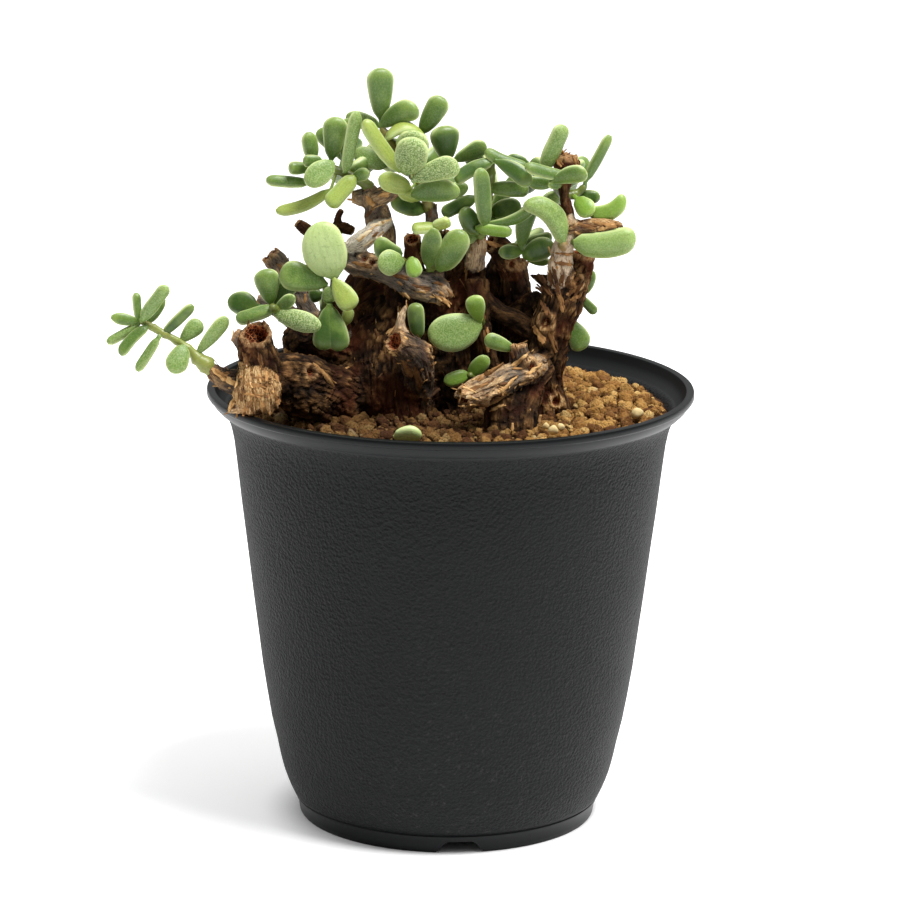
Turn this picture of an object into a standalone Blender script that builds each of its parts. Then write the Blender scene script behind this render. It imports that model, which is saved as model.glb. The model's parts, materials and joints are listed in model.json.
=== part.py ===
"""A potted ceraria: a pruned, woody caudex with plump grey-green leaves in a black plastic pot.

Blender 4.5. Metres, +Z up. The origin is the middle of the whole object's box, on the surface
that the pot stands on. The pot's own axis is a little to the right, because the longest sprig
reaches out over the left of the rim.
"""
import math
import random
from collections import namedtuple

import bmesh
import bpy
from mathutils import Matrix, Vector, noise

MM = 0.001

# Driving sizes of the pot
POT_X = 10.0 * MM            # the pot's axis, to the right of the origin
RIM_RADIUS = 52.5 * MM
POT_HEIGHT = 95.0 * MM
WALL = 1.2 * MM
FOOT_RADIUS = 32.2 * MM      # outer radius at the very bottom
FOOT_WIDTH = 2.2 * MM        # the foot ring, measured outwards
SHOULDER_RADIUS = 36.0 * MM  # where the curve above the foot meets the tapered wall
SHOULDER_Z = 10.5 * MM
COVE_RADIUS = 47.5 * MM      # where the tapered wall ends under the flared rim
COVE_Z = 87.6 * MM
LIP_WIDTH = 1.9 * MM
LIP_Z = 93.5 * MM            # underside of the lip's rounded band
FLOOR_Z = 4.0 * MM           # underside of the raised floor
POT_SEGMENTS = 32
NOTCHES = 3
NOTCH_TURN = math.radians(-84.6)   # the front notch, a little to the right of the middle
NOTCH_FOOT = 10.5 * MM
NOTCH_TOP = 5.6 * MM
NOTCH_HEIGHT = 2.6 * MM
DRAIN_RADIUS = 3.0 * MM
DRAIN_CIRCLE = 18.0 * MM
DRAINS = 6

# Driving sizes of the soil and the plant
SOIL_Z = 91.1 * MM           # mean level of the grains
SOIL_SLOPE = 0.018           # the level's rise towards the back
SOIL_RELIEF = 1.1 * MM
SOIL_RINGS = 15
GRAIN = 1.7 * MM             # size of the relief's grains
GAP = 0.35 * MM              # clearance left between neighbouring bodies
SOIL_GAP = 0.7 * MM          # clearance of the hole in the soil round the caudex
BARK_RELIEF = 0.16           # lumps in the bark, as a share of a limb's radius
HOLLOW_WIDTH = 0.70          # a rotted heart, as a share of the end's radius
HOLLOW_DEPTH = 1.3
LIMB_SIDES = ((2.0, 5), (4.0, 6), (7.0, 8), (99.0, 10))   # sides of limbs up to each radius in mm
WOOD_KEPT = 0.82             # share of the faces that is kept when the fused wood is thinned
SHOOT_KEPT = 0.68            # the same for a fused shoot
LEAF_SIDES = 6
LEAF_RINGS = (0.08, 0.40, 0.72, 0.94)
SLIM_LEAF_RINGS = (0.12, 0.55, 0.92)
SLIM_LEAF = 4.5 * MM         # leaves narrower than this have one ring fewer
LEAF_FOOT = 1.4 * MM         # how far a leaf's foot runs into its stem

# The eye that the picture was taken from, found from the pot's round rim and foot. Picture points
# are (column, row) in a frame of 900 by 900, and a depth is how far a point stands in front of the
# pot's axis, in millimetres.
EYE = Vector((POT_X, -953.6 * MM, 315.0 * MM))
EYE_PITCH = 0.2409
EYE_ROLL = -0.0104
FOCAL_LENGTH = 4541.4
PICTURE_MIDDLE = 450.0

Limb = namedtuple("Limb", "path start end", defaults=("round", "round"))
Leaf = namedtuple("Leaf", "root tip width out lean roll bend", defaults=(0, 0, 0, 0))
Shoot = namedtuple("Shoot", "stem leaves forms behind tone", defaults=(0, "mid"))

# A leaf's form: how broad its foot is, where it is first as broad as it gets, and where its blunt
# end starts (shares of its breadth and its length), and its thickness as a share of its width.
FORMS = {
    "f": (0.62, 0.45, 0.80, 0.72),    # a finger
    "s": (0.24, 0.74, 0.74, 0.52),    # a spoon, broadest near its end
    "o": (0.40, 0.52, 0.58, 0.52),    # an oval
    "r": (0.34, 0.50, 0.50, 0.42),    # nearly round
}

TONES = {
    "mid": (0.17, 0.30, 0.085),
    "grey": (0.26, 0.38, 0.18),
    "dark": (0.10, 0.21, 0.045),
    "fresh": (0.21, 0.38, 0.06),
    "pale": (0.42, 0.55, 0.25),
}

# The caudex and its limbs. Each station of a path is column, row, depth and radius (the last two
# in mm). An end is round, cut (a flat saw cut), hollow (a cut with a rotted heart) or point.
LIMBS = {
    "caudex": Limb([(395, 520, 0, 6), (394, 465, 0, 10.5), (390, 408, 0, 12.4), (388, 370, -1, 11.6),
                    (390, 338, -3, 9.3), (396, 312, -4, 6.5)]),
    "left_column": Limb([(364, 380, -3, 6), (356, 335, -5, 4.5), (357, 298, -6, 3.8), (368, 268, -5, 3.0)]),
    "centre_column": Limb([(398, 350, -1, 6.2), (400, 316, -2, 5.0), (404, 288, -1, 4.2)]),
    "cross_limb": Limb([(345, 258, 1, 1.9), (358, 263, 2, 2.7), (385, 270, 3, 2.8), (415, 284, 4, 3.2),
                        (437, 290, 5, 3.2), (446, 300, 6, 1.9)], "cut", "hollow"),
    "middle_trunk": Limb([(458, 470, -2, 6.5), (453, 405, -2, 8.3), (452, 360, -4, 8.3),
                          (455, 320, -5, 7.6),
                          (461, 290, -5, 6.4), (468, 268, -4, 4.0), (473, 254, -2, 2.8)]),
    "front_strip": Limb([(477, 283, 1, 2.6), (480, 318, 3, 2.2), (486, 350, 3, 2.1), (492, 390, 2, 2.8)]),
    "curved_branch": Limb([(482, 298, 1, 2.4), (500, 314, 2, 2.1), (515, 319, 2, 2.2), (534, 334, 2, 2.8)]),
    "rear_column": Limb([(512, 420, -4, 5.6), (514, 365, -6, 5.8), (515, 322, -8, 4.9), (512, 288, -8, 4.1),
                         (512, 262, -8, 3.6)], end="cut"),
    "rear_stub": Limb([(512, 272, -7, 3.2), (500, 249, -5, 2.8), (489, 243, -4, 2.0)], end="hollow"),
    "right_column": Limb([(520, 500, 2, 4.5), (544, 448, 3, 6.2), (544, 412, 3, 5.4), (543, 385, 3, 4.3),
                          (546, 355, 3, 4.2), (553, 325, 3, 4.7), (562, 298, 3, 4.8), (570, 278, 3, 4.2)]),
    "dark_top": Limb([(570, 292, 2, 3.8), (579, 268, 1, 3.0), (583, 253, 1, 2.6)], end="hollow"),
    "tan_top": Limb([(563, 285, 4, 3.4), (561, 262, 5, 2.6), (564, 246, 5, 2.2), (571, 233, 5, 1.9),
                     (573, 222, 5, 1.7)], end="cut"),
    "red_stub": Limb([(571, 229, 5, 2.0), (590, 227, 6, 1.9), (606, 226, 7, 1.6), (617, 225, 7, 0.9)],
                     end="point"),
    "dark_stem": Limb([(571, 228, 4, 1.5), (567, 210, 3, 1.4), (564, 190, 2, 1.3), (566, 175, 2, 2.2),
                       (567, 164, 2, 3.0), (567, 156, 2, 2.5)], end="cut"),
    "shards": Limb([(557, 288, 2, 2.4), (543, 280, 1, 1.5), (533, 276, 1, 0.6)], end="point"),
    "knob": Limb([(570, 287, 4, 2.6), (583, 279, 4, 2.0)], end="cut"),
    "front_root": Limb([(508, 485, 12, 3.6), (510, 432, 17, 6.0), (515, 405, 15, 5.2), (526, 382, 11, 4.4),
                        (538, 365, 7, 3.6)]),
    "broken_stub": Limb([(538, 364, 12, 2.6), (526, 372, 15, 2.8), (505, 379, 18, 3.0), (484, 390, 21, 3.2),
                         (463, 400, 23, 2.9)], end="hollow"),
    "broken_knob": Limb([(530, 374, 15, 2.4), (521, 357, 16, 2.5), (519, 344, 16, 1.8)], end="cut"),
    "hollow_stub": Limb([(418, 396, 7, 3.2), (419, 375, 10, 3.6), (414, 357, 13, 3.7), (404, 347, 15, 3.1),
                         (394, 341, 17, 2.5)], end="hollow"),
    "spike": Limb([(405, 345, 14, 2.2), (400, 329, 15, 1.3), (401, 317, 15, 0.9), (406, 307, 15, 0.5)],
                  end="point"),
    "low_knob": Limb([(428, 386, 6, 3.4), (412, 391, 9, 3.0)]),
    "left_limb": Limb([(350, 404, 3, 8.0), (318, 393, 12, 7.2), (292, 381, 18, 6.4), (268, 376, 22, 4.8)]),
    "left_stump": Limb([(266, 384, 22, 4.4), (260, 360, 24, 4.2), (257, 344, 25, 3.8), (256, 333, 27, 3.4)],
                       end="hollow"),
    "stump_bump": Limb([(250, 346, 24, 2.4), (241, 339, 24, 2.0), (234, 334, 24, 1.7)], end="cut"),
    "tan_chunk": Limb([(256, 375, 25, 4.3), (257, 391, 27, 4.9), (258, 408, 27, 4.6)], "cut", "cut"),
    "frayed_tip": Limb([(250, 406, 28, 2.6), (233, 411, 28, 1.0)], end="point"),
    "side_arm": Limb([(246, 384, 23, 3.0), (226, 379, 22, 2.4), (212, 371, 21, 1.7)]),
    "left_upper": Limb([(352, 350, -1, 4.6), (325, 337, 4, 3.4), (300, 323, 7, 2.5), (278, 308, 7, 1.9),
                        (258, 300, 6, 1.6)], end="cut"),
    "cluster_twig": Limb([(340, 335, 1, 2.6), (336, 308, 4, 1.5), (334, 288, 6, 1.2)]),
    "left_end": Limb([(322, 334, 2, 2.4), (303, 300, -1, 1.8), (288, 276, -3, 2.0), (277, 262, -4, 2.4),
                      (270, 254, -4, 2.1)], end="hollow"),
    "tuft_twig": Limb([(352, 262, -1, 2.2), (338, 246, -6, 1.5), (322, 240, -8, 1.3), (308, 231, -8, 1.5),
                       (296, 222, -8, 1.2)], end="cut"),
    "dark_twig": Limb([(330, 243, -7, 1.2), (337, 227, -8, 1.2), (338, 217, -8, 0.9), (342, 209, -8, 0.7)],
                      end="cut"),
    "side_twig": Limb([(336, 227, -8, 1.2), (346, 228, -8, 1.3), (354, 232, -8, 1.0)], end="cut"),
    "fork": Limb([(388, 272, 1, 2.4), (389, 243, -1, 1.7), (388, 226, -1, 1.6), (377, 208, 0, 2.2),
                  (370, 197, 0, 2.6), (371, 189, 0, 1.7)]),
    "fork_left": Limb([(371, 197, 0, 2.2), (360, 197, 0, 1.9), (352, 197, 0, 1.3)], end="cut"),
    "fork_right": Limb([(371, 198, 0, 2.2), (385, 195, 2, 1.9), (397, 190, 2, 1.3)]),
    "fork_spike": Limb([(374, 206, 1, 1.9), (369, 218, 1, 1.1), (367, 226, 1, 0.5)], end="point"),
    "peeled_piece": Limb([(349, 246, 2, 1.8), (362, 240, 3, 2.1), (374, 231, 3, 1.9), (388, 222, 0, 1.3)],
                         start="cut"),
    "ring_stub": Limb([(415, 272, 3, 2.4), (413, 252, 3, 2.0), (412, 238, 5, 1.9)], end="hollow"),
    "crown_twig": Limb([(434, 278, 1, 2.2), (434, 250, -1, 1.5), (432, 222, -1, 1.5), (430, 205, -1, 1.4)]),
    "leaning_twig": Limb([(444, 275, -1, 1.8), (447, 248, -2, 1.3), (446, 231, -2, 1.2)], end="cut"),
    "tan_stump": Limb([(474, 264, -1, 2.4), (478, 246, 1, 1.9), (478, 236, 1, 1.7)], end="cut"),
    "back_stub": Limb([(400, 335, -8, 6.5), (402, 305, -17, 4.0), (400, 284, -22, 3.0)], end="hollow"),
    "back_limb": Limb([(462, 385, -8, 6.5), (478, 352, -19, 3.6), (490, 322, -25, 2.6),
                       (492, 300, -27, 2.0)],
                      end="cut"),
    "back_left": Limb([(352, 385, -6, 7.0), (322, 360, -18, 4.0), (305, 335, -23, 2.6),
                       (300, 318, -24, 2.0)],
                      end="hollow"),
}

# The foliage, shoot by shoot. A stem is a list of stations like a limb's. A leaf goes from its
# root to its tip in the picture, with its real width, how far its root stands out from the stem,
# how far its tip leans towards the eye, its roll about its length in degrees (90 is edge on) and
# the rise of its curve. A letter for each leaf, in the same order, names its form. The number after
# them is how many leaves stand on the shoot's far side.
SHOOTS = {
    "crown": Shoot(
        [(430, 212, -1, 1.2), (424, 192, 0, 1.3), (412, 172, 1, 1.3), (396, 150, 0, 1.2),
         (382, 128, -1, 1.0)],
        [Leaf((381, 121), (380, 68), 5.9, -1, 1, 12),
         Leaf((380, 126), (346, 116), 3.6, -3),
         Leaf((401, 172), (364, 120), 3.4, 3, 2, 20, 0.4),
         Leaf((379, 127), (418, 108), 5.0, 0, 2, 0, 0.8),
         Leaf((420, 135), (443, 97), 4.9, -3),
         Leaf((427, 138), (385, 138), 4.6, 1, 0, 70, -2.4),
         Leaf((411, 158), (414, 131), 7.0, 1, 2),
         Leaf((407, 174), (415, 138), 7.2, 5, 3),
         Leaf((411, 181), (459, 165), 5.0, 6, 2, 0, 0.5),
         Leaf((447, 162), (444, 126), 6.3, -2, 1, 10),
         Leaf((453, 161), (486, 144), 3.9, -2, 0, 20),
         Leaf((411, 189), (379, 178), 4.4, 3, 3),
         Leaf((418, 200), (398, 188), 3.2, 2, 2),
         Leaf((411, 195), (460, 191), 5.1, 5, 2, 15, 0.6),
         Leaf((438, 197), (468, 186), 3.4, 1),
         Leaf((388, 166), (354, 152), 4.4, -3),
         Leaf((426, 211), (391, 201), 4.2, 0, 2, 10)],
        "sofsssrosssoooooo", 3),
    "left_tuft": Shoot(
        [(371, 187, 0, 1.2), (358, 180, 1, 1.1), (344, 173, 1, 1.1), (328, 168, 1, 1.0),
         (312, 165, 1, 0.8)],
        [Leaf((313, 161), (308, 132), 3.7, -1, 0, 20),
         Leaf((331, 161), (337, 117), 5.3, -2, 0),
         Leaf((345, 173), (357, 111), 2.9, 2, 1, 20),
         Leaf((343, 160), (350, 118), 3.8, -3),
         Leaf((308, 168), (289, 168), 2.8, 0, 2),
         Leaf((322, 161), (303, 161), 2.6, 2, 1),
         Leaf((334, 162), (306, 184), 5.1, 3, 3),
         Leaf((309, 183), (266, 180), 2.6, 0, 1, 20),
         Leaf((331, 190), (276, 212), 2.7, 2, 0, 20, 0.9),
         Leaf((355, 176), (328, 206), 3.8, 3, 2),
         Leaf((353, 178), (369, 172), 2.8, 2, 2)],
        "osfsffofffo", 1),
    "middle_shoot": Shoot(
        [(478, 240, 1, 1.3), (483, 226, 2, 1.3), (487, 200, 1, 1.2), (490, 178, 1, 1.2),
         (492, 162, 1, 1.0)],
        [Leaf((485, 227), (480, 168), 3.6, 3, 2, 20),
         Leaf((493, 161), (455, 181), 3.1, 2, 2, 15, -0.5),
         Leaf((494, 160), (531, 184), 4.0, 3, 2, 0, 0.5),
         Leaf((489, 188), (529, 190), 3.4, 0, 1),
         Leaf((476, 197), (442, 214), 3.0, 0, 1),
         Leaf((477, 235), (463, 208), 4.3, 2, 1, 20),
         Leaf((477, 238), (455, 236), 3.3, 1),
         Leaf((475, 228), (512, 232), 2.7, 3, 1, 20),
         Leaf((486, 223), (537, 204), 2.6, 3, 1, 20, -1.4),
         Leaf((490, 213), (521, 205), 4.4, -2)],
        "ffsffoofso", 2),
    "rear_shoot": Shoot(
        [(500, 250, -5, 1.2), (511, 248, -3, 1.1), (521, 246, -2, 1.0)],
        [Leaf((521, 250), (532, 204), 4.2, 3, 2, 20, 0.6),
         Leaf((522, 252), (499, 252), 3.1, 3, 2),
         Leaf((523, 257), (553, 243), 4.9, 3, 2),
         Leaf((524, 243), (552, 236), 2.5, 1, 0, 20),
         Leaf((526, 258), (549, 262), 2.6, 1, 0, 40)],
        "soofo", 1, "dark"),
    "right_shoot": Shoot(
        [(565, 182, 2, 1.2), (556, 180, 3, 1.1), (544, 176, 3, 1.1), (530, 170, 2, 1.0)],
        [Leaf((543, 171), (564, 125), 3.8, 0, 1, 20),
         Leaf((529, 167), (485, 151), 2.8, 1, 0, 20, 0.6),
         Leaf((528, 163), (508, 157), 2.4, -2),
         Leaf((570, 177), (525, 166), 2.7, 4, 2, 20, 0.3),
         Leaf((553, 184), (528, 182), 3.0, 1, 1),
         Leaf((551, 182), (587, 173), 4.0, 4, 3, 10, 0.5),
         Leaf((560, 186), (549, 183), 2.2, 3, 2)],
        "ffofoso", 1),
    "thin_shoot": Shoot(
        [(566, 196, 2, 1.1), (577, 193, 1, 1.0), (585, 186, 1, 0.9)],
        [Leaf((585, 182), (610, 135), 2.3, 0, 0, 20),
         Leaf((579, 195), (600, 198), 3.0, -1, 0),
         Leaf((576, 198), (592, 215), 4.2, 2, 3),
         Leaf((585, 212), (626, 198), 3.8, 3, 1, 0, -1.7)],
        "foof"),
    "hooked_shoot": Shoot(
        [(563, 248, 6, 1.2), (563, 243, 8, 1.3)],
        [Leaf((564, 243), (526, 201), 4.9, 1, 1, 10, -2.3)],
        "f", 0, "grey"),
    "right_leaf": Shoot(
        [(570, 240, 5, 1.1), (575, 242, 7, 1.0)],
        [Leaf((573, 244), (636, 237), 5.9, 2, 1, 10, -0.9)],
        "f"),
    "front_pair": Shoot(
        [(430, 272, 4, 1.0), (431, 262, 5, 1.0), (437, 268, 5, 0.9)],
        [Leaf((428, 268), (434, 228), 4.3, 2, 2),
         Leaf((438, 271), (464, 231), 6.0, 2, 1),
         Leaf((436, 227), (412, 229), 2.8, 2, 1, 40),
         Leaf((432, 228), (450, 221), 2.8, 2, 1, 40)],
        "ooff", 1),
    "front_bunch": Shoot(
        [(398, 268, 6, 1.1), (397, 258, 7, 1.0), (404, 262, 8, 1.0)],
        [Leaf((402, 255), (375, 241), 4.6, 0, 1, 0, 0.8),
         Leaf((404, 262), (378, 263), 5.5, 3, 3),
         Leaf((411, 257), (416, 277), 3.5, 3, 2)],
        "oro", 0, "grey"),
    "round_leaf": Shoot(
        [(334, 292, 7, 1.1), (334, 279, 9, 1.1)],
        [Leaf((335, 279), (319, 222), 9.5, 2, 1, 0, 0.6),
         Leaf((333, 278), (353, 309), 4.8, 3, 2)],
        "rs", 0, "pale"),
    "left_cluster": Shoot(
        [(322, 326, 7, 1.3), (326, 304, 8, 1.2), (326, 287, 8, 1.1)],
        [Leaf((328, 285), (280, 272), 6.3, 2, 1),
         Leaf((329, 304), (322, 350), 4.8, 4, 2),
         Leaf((330, 304), (341, 351), 4.9, 4, 2),
         Leaf((325, 302), (334, 288), 3.4, 2, 1),
         Leaf((345, 325), (350, 308), 2.6, -1),
         Leaf((322, 293), (309, 297), 3.2, -3)],
        "sssooo"),
    "left_lower": Shoot(
        [(292, 320, 8, 1.2), (281, 313, 12, 1.3), (272, 307, 15, 1.2)],
        [Leaf((271, 305), (265, 269), 5.3, 0, 0),
         Leaf((275, 304), (290, 281), 4.6, -1, -2),
         Leaf((258, 306), (228, 301), 5.2, -1, -2),
         Leaf((275, 308), (236, 320), 3.1, 3, 1, 20),
         Leaf((276, 311), (294, 296), 2.9, 3, 2),
         Leaf((274, 313), (321, 327), 4.4, 4, 2)],
        "ssrfoo", 0, "grey"),
    "front_leaf": Shoot(
        [(481, 324, 4, 1.0), (481, 318, 6, 1.0)],
        [Leaf((482, 325), (428, 336), 8.2, 3, 3, 0, 0.4),
         Leaf((480, 322), (473, 296), 4.2, 3, 2)],
        "rs"),
    "small_leaf": Shoot(
        [(522, 352, 15, 0.9), (514, 349, 15, 0.9)],
        [Leaf((516, 350), (485, 338), 3.4, 1, 1)],
        "s"),
    "leaf_pair": Shoot(
        [(475, 383, 3, 1.0), (470, 375, 9, 0.9)],
        [Leaf((470, 374), (444, 382), 3.3, 2, 2),
         Leaf((469, 376), (488, 357), 3.6, 2, 1)],
        "oo", 0, "fresh"),
    "deep_leaf": Shoot(
        [(418, 353, 7, 1.0), (417, 340, 8, 0.9)],
        [Leaf((418, 339), (415, 303), 3.5, 1, 0)],
        "f", 0, "dark"),
    "column_leaves": Shoot(
        [(572, 296, 0, 1.0), (582, 296, -1, 0.9)],
        [Leaf((583, 295), (593, 271), 2.8, 0, 0),
         Leaf((580, 297), (596, 313), 2.1, 0, 0)],
        "of"),
    "low_leaf": Shoot(
        [(556, 330, 4, 1.0), (567, 321, 3, 0.9)],
        [Leaf((567, 318), (583, 350), 4.7, 1, 1, 0, 0.4)],
        "s"),
    "sprig": Shoot(
        [(212, 371, 21, 1.5), (205, 364, 21, 2.0), (197, 358, 21, 1.5), (190, 350, 21, 1.0),
         (175, 340, 21, 0.9),
         (163, 333, 21, 0.9), (150, 326, 21, 0.85), (140, 321, 21, 0.7)],
        [Leaf((139, 322), (111, 317), 2.6, 0, 1),
         Leaf((138, 319), (136, 293), 1.8, 0, -2, 20),
         Leaf((141, 321), (167, 286), 2.9, 1, 2, 10),
         Leaf((147, 324), (164, 299), 2.4, -3, -1),
         Leaf((138, 325), (107, 343), 2.0, 0, 1, 20),
         Leaf((148, 326), (120, 355), 2.5, 1, 2, 15, -0.5),
         Leaf((159, 337), (137, 371), 2.1, 1, 0, 20),
         Leaf((163, 334), (193, 305), 2.3, 0, 0, 20),
         Leaf((180, 342), (201, 321), 3.7, -2, -2),
         Leaf((185, 345), (172, 373), 4.7, 2, 3),
         Leaf((196, 355), (227, 317), 3.3, 0, 0, 15)],
        "offoffffsos", 0, "grey"),
}

# The far side, which the picture doesn't show, carries shoots of the same kind: where each one
# springs from (column, row, depth), where it ends, and its number of leaves.
BACK_SHOOTS = {
    "back_top": ((431, 215, -1), (416, 165, -13), 5),
    "back_tuft": ((371, 193, -1), (344, 158, -11), 4),
    "back_right": ((486, 215, 1), (500, 190, -12), 4),
    "back_edge": ((565, 195, 2), (553, 186, -11), 4),
    "back_middle": ((402, 303, -18), (410, 318, -31), 5),
    "back_low": ((478, 352, -20), (466, 338, -32), 5),
    "back_left": ((308, 338, -22), (336, 328, -29), 5),
}


def clear_scene():
    """Empty the file of objects."""
    for old in list(bpy.data.objects):
        bpy.data.objects.remove(old, do_unlink=True)


def finish(name, colour, roughness):
    """A plain Principled finish."""
    material = bpy.data.materials.new(name)
    material.use_nodes = True
    shader = material.node_tree.nodes["Principled BSDF"]
    shader.inputs["Base Color"].default_value = (*colour, 1.0)
    shader.inputs["Roughness"].default_value = roughness
    shader.inputs["Metallic"].default_value = 0.0
    return material


def seen(column, row, depth):
    """The point on the eye's line through a picture point, at a depth in front of the pot's axis."""
    across = column - PICTURE_MIDDLE
    above = PICTURE_MIDDLE - row
    right = (across * math.cos(EYE_ROLL) + above * math.sin(EYE_ROLL)) / FOCAL_LENGTH
    up = (above * math.cos(EYE_ROLL) - across * math.sin(EYE_ROLL)) / FOCAL_LENGTH
    forward = Vector((0.0, math.cos(EYE_PITCH), -math.sin(EYE_PITCH)))
    upward = Vector((0.0, math.sin(EYE_PITCH), math.cos(EYE_PITCH)))
    ray = forward + Vector((right, 0.0, 0.0)) + upward * up
    return EYE + ray * ((-depth * MM - EYE.y) / ray.y)


def object_from(name, mesh_points, faces, material=None):
    """An object of plain faces, with its normals pointing out."""
    mesh = bpy.data.meshes.new(name)
    mesh.from_pydata([tuple(p) for p in mesh_points], [], faces)
    work = bmesh.new()
    work.from_mesh(mesh)
    bmesh.ops.recalc_face_normals(work, faces=work.faces)
    work.to_mesh(mesh)
    work.free()
    made = bpy.data.objects.new(name, mesh)
    bpy.context.scene.collection.objects.link(made)
    if material:
        mesh.materials.append(material)
    return made


def bake(target):
    """Replace an object's mesh by what its modifiers make of it."""
    evaluated = target.evaluated_get(bpy.context.evaluated_depsgraph_get())
    mesh = bpy.data.meshes.new_from_object(evaluated)
    target.modifiers.clear()
    old = target.data
    target.data = mesh
    mesh.name = target.name
    bpy.data.meshes.remove(old)


def boolean(target, others, operation):
    """Join others to target, or cut them from it, in one step, and remove them."""
    group = bpy.data.collections.new("boolean")
    bpy.context.scene.collection.children.link(group)
    for other in others:
        for home in list(other.users_collection):
            home.objects.unlink(other)
        group.objects.link(other)
    step = target.modifiers.new("boolean", "BOOLEAN")
    step.operation = operation
    step.operand_type = "COLLECTION"
    step.collection = group
    step.solver = "MANIFOLD"
    bake(target)
    for other in others:
        bpy.data.objects.remove(other, do_unlink=True)
    bpy.data.collections.remove(group)


def cut_to_triangles(target):
    """Cut every face into triangles, and close the empty pockets that this leaves."""
    work = bmesh.new()
    work.from_mesh(target.data)
    bmesh.ops.triangulate(work, faces=work.faces)
    crowded = [edge for edge in work.edges if len(edge.link_faces) > 2]
    while crowded:
        pocket = facing_pair(crowded)
        if pocket:
            bmesh.ops.delete(work, geom=pocket, context="FACES")
        else:
            bmesh.ops.collapse(work, edges=crowded[:1])
        crowded = [edge for edge in work.edges if len(edge.link_faces) > 2]
    loose = [corner for corner in work.verts if not corner.link_faces]
    bmesh.ops.delete(work, geom=loose, context="VERTS")
    work.to_mesh(target.data)
    work.free()


def facing_pair(edges):
    """Two faces on the same three corners, with nothing between them."""
    for edge in edges:
        met = {}
        for face in edge.link_faces:
            corners = frozenset(corner.index for corner in face.verts)
            if corners in met:
                return [met[corners], face]
            met[corners] = face
    return []


def thin_out(target, kept):
    """Drop the least needed faces of a fused body, so that a share of them is kept."""
    cut_to_triangles(target)
    step = target.modifiers.new("thin_out", "DECIMATE")
    step.ratio = kept
    bake(target)
    cut_to_triangles(target)


def keep_largest(target):
    """Keep the body that holds most, and drop the scraps and sealed hollows."""
    work = bmesh.new()
    work.from_mesh(target.data)
    left = set(work.faces)
    bodies = []
    while left:
        body = {left.pop()}
        edge = list(body)
        while edge:
            face = edge.pop()
            for side in face.edges:
                for near in side.link_faces:
                    if near in left:
                        left.discard(near)
                        body.add(near)
                        edge.append(near)
        bodies.append(body)
    bodies.sort(key=body_volume, reverse=True)
    for scrap in bodies[1:]:
        bmesh.ops.delete(work, geom=list(scrap), context="FACES")
    work.to_mesh(target.data)
    work.free()


def body_volume(faces):
    """The volume inside a closed set of faces."""
    total = 0.0
    for face in faces:
        corners = [corner.vert.co for corner in face.loops]
        for second, third in zip(corners[1:], corners[2:]):
            total += corners[0].dot(second.cross(third)) / 6.0
    return total


def copy_of(source, name):
    """A separate copy of an object and its mesh."""
    made = bpy.data.objects.new(name, source.data.copy())
    bpy.context.scene.collection.objects.link(made)
    return made


def turned(profile, segments):
    """Points and faces of a closed outline of (radius, height) turned about the pot's axis."""
    points = []
    for radius, height in profile:
        for step in range(segments):
            angle = math.tau * step / segments
            points.append((POT_X + radius * math.cos(angle), radius * math.sin(angle), height))
    faces = []
    for row in range(len(profile)):
        after = (row + 1) % len(profile)
        for step in range(segments):
            side = (step + 1) % segments
            faces.append((row * segments + step, row * segments + side,
                          after * segments + side, after * segments + step))
    return points, faces


def wall_profile():
    """The pot's outer wall from the foot to the lip, as (radius, height)."""
    outline = [(FOOT_RADIUS, 0.0), (FOOT_RADIUS + 0.3 * MM, 2.3 * MM)]
    outline.append((FOOT_RADIUS + 1.1 * MM, 3.9 * MM))
    rise = COVE_Z - SHOULDER_Z
    for share in (0.0, 0.15, 0.50, 1.0):
        swell = share ** 0.83
        radius = SHOULDER_RADIUS + (COVE_RADIUS - SHOULDER_RADIUS) * swell
        outline.append((radius, SHOULDER_Z + rise * share))
    flare = RIM_RADIUS - COVE_RADIUS
    for share, height in ((0.14, 0.30), (0.50, 0.58), (0.82, 0.82)):
        outline.append((COVE_RADIUS + flare * share, COVE_Z + (LIP_Z - COVE_Z) * height))
    outline.append((RIM_RADIUS, LIP_Z))
    outline.append((RIM_RADIUS, POT_HEIGHT - 0.4 * MM))
    outline.append((RIM_RADIUS - 0.4 * MM, POT_HEIGHT))
    return outline


def inner_profile():
    """The pot's inner wall from the lip down to the floor, as (radius, height)."""
    outer = wall_profile()
    lip = RIM_RADIUS - LIP_WIDTH
    inner = [(lip + 0.4 * MM, POT_HEIGHT), (lip, POT_HEIGHT - 0.4 * MM)]
    for radius, height in (outer[9], outer[8], outer[6], outer[5], outer[3]):
        inner.append((radius - WALL * 1.1, height + 0.5 * WALL))
    inner[2] = (lip - 0.5 * MM, inner[2][1])
    inner.append((FOOT_RADIUS + 0.6 * MM, FLOOR_Z + WALL))
    return inner


def make_pot(material):
    """The pot: a tapered shell with a flared lip, a notched foot ring and a drained floor."""
    foot = FOOT_RADIUS - FOOT_WIDTH
    outline = wall_profile() + inner_profile()
    outline += [(DRAIN_RADIUS, FLOOR_Z + WALL), (DRAIN_RADIUS, FLOOR_Z), (foot, FLOOR_Z), (foot, 0.0)]
    pot = object_from("pot", *turned(outline, POT_SEGMENTS), material)
    cutters = [notch_cutter(NOTCH_TURN + math.tau * n / NOTCHES) for n in range(NOTCHES)]
    cutters += [drain_cutter(math.tau * (n + 0.5) / DRAINS) for n in range(DRAINS)]
    boolean(pot, cutters, "DIFFERENCE")
    return pot


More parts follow.
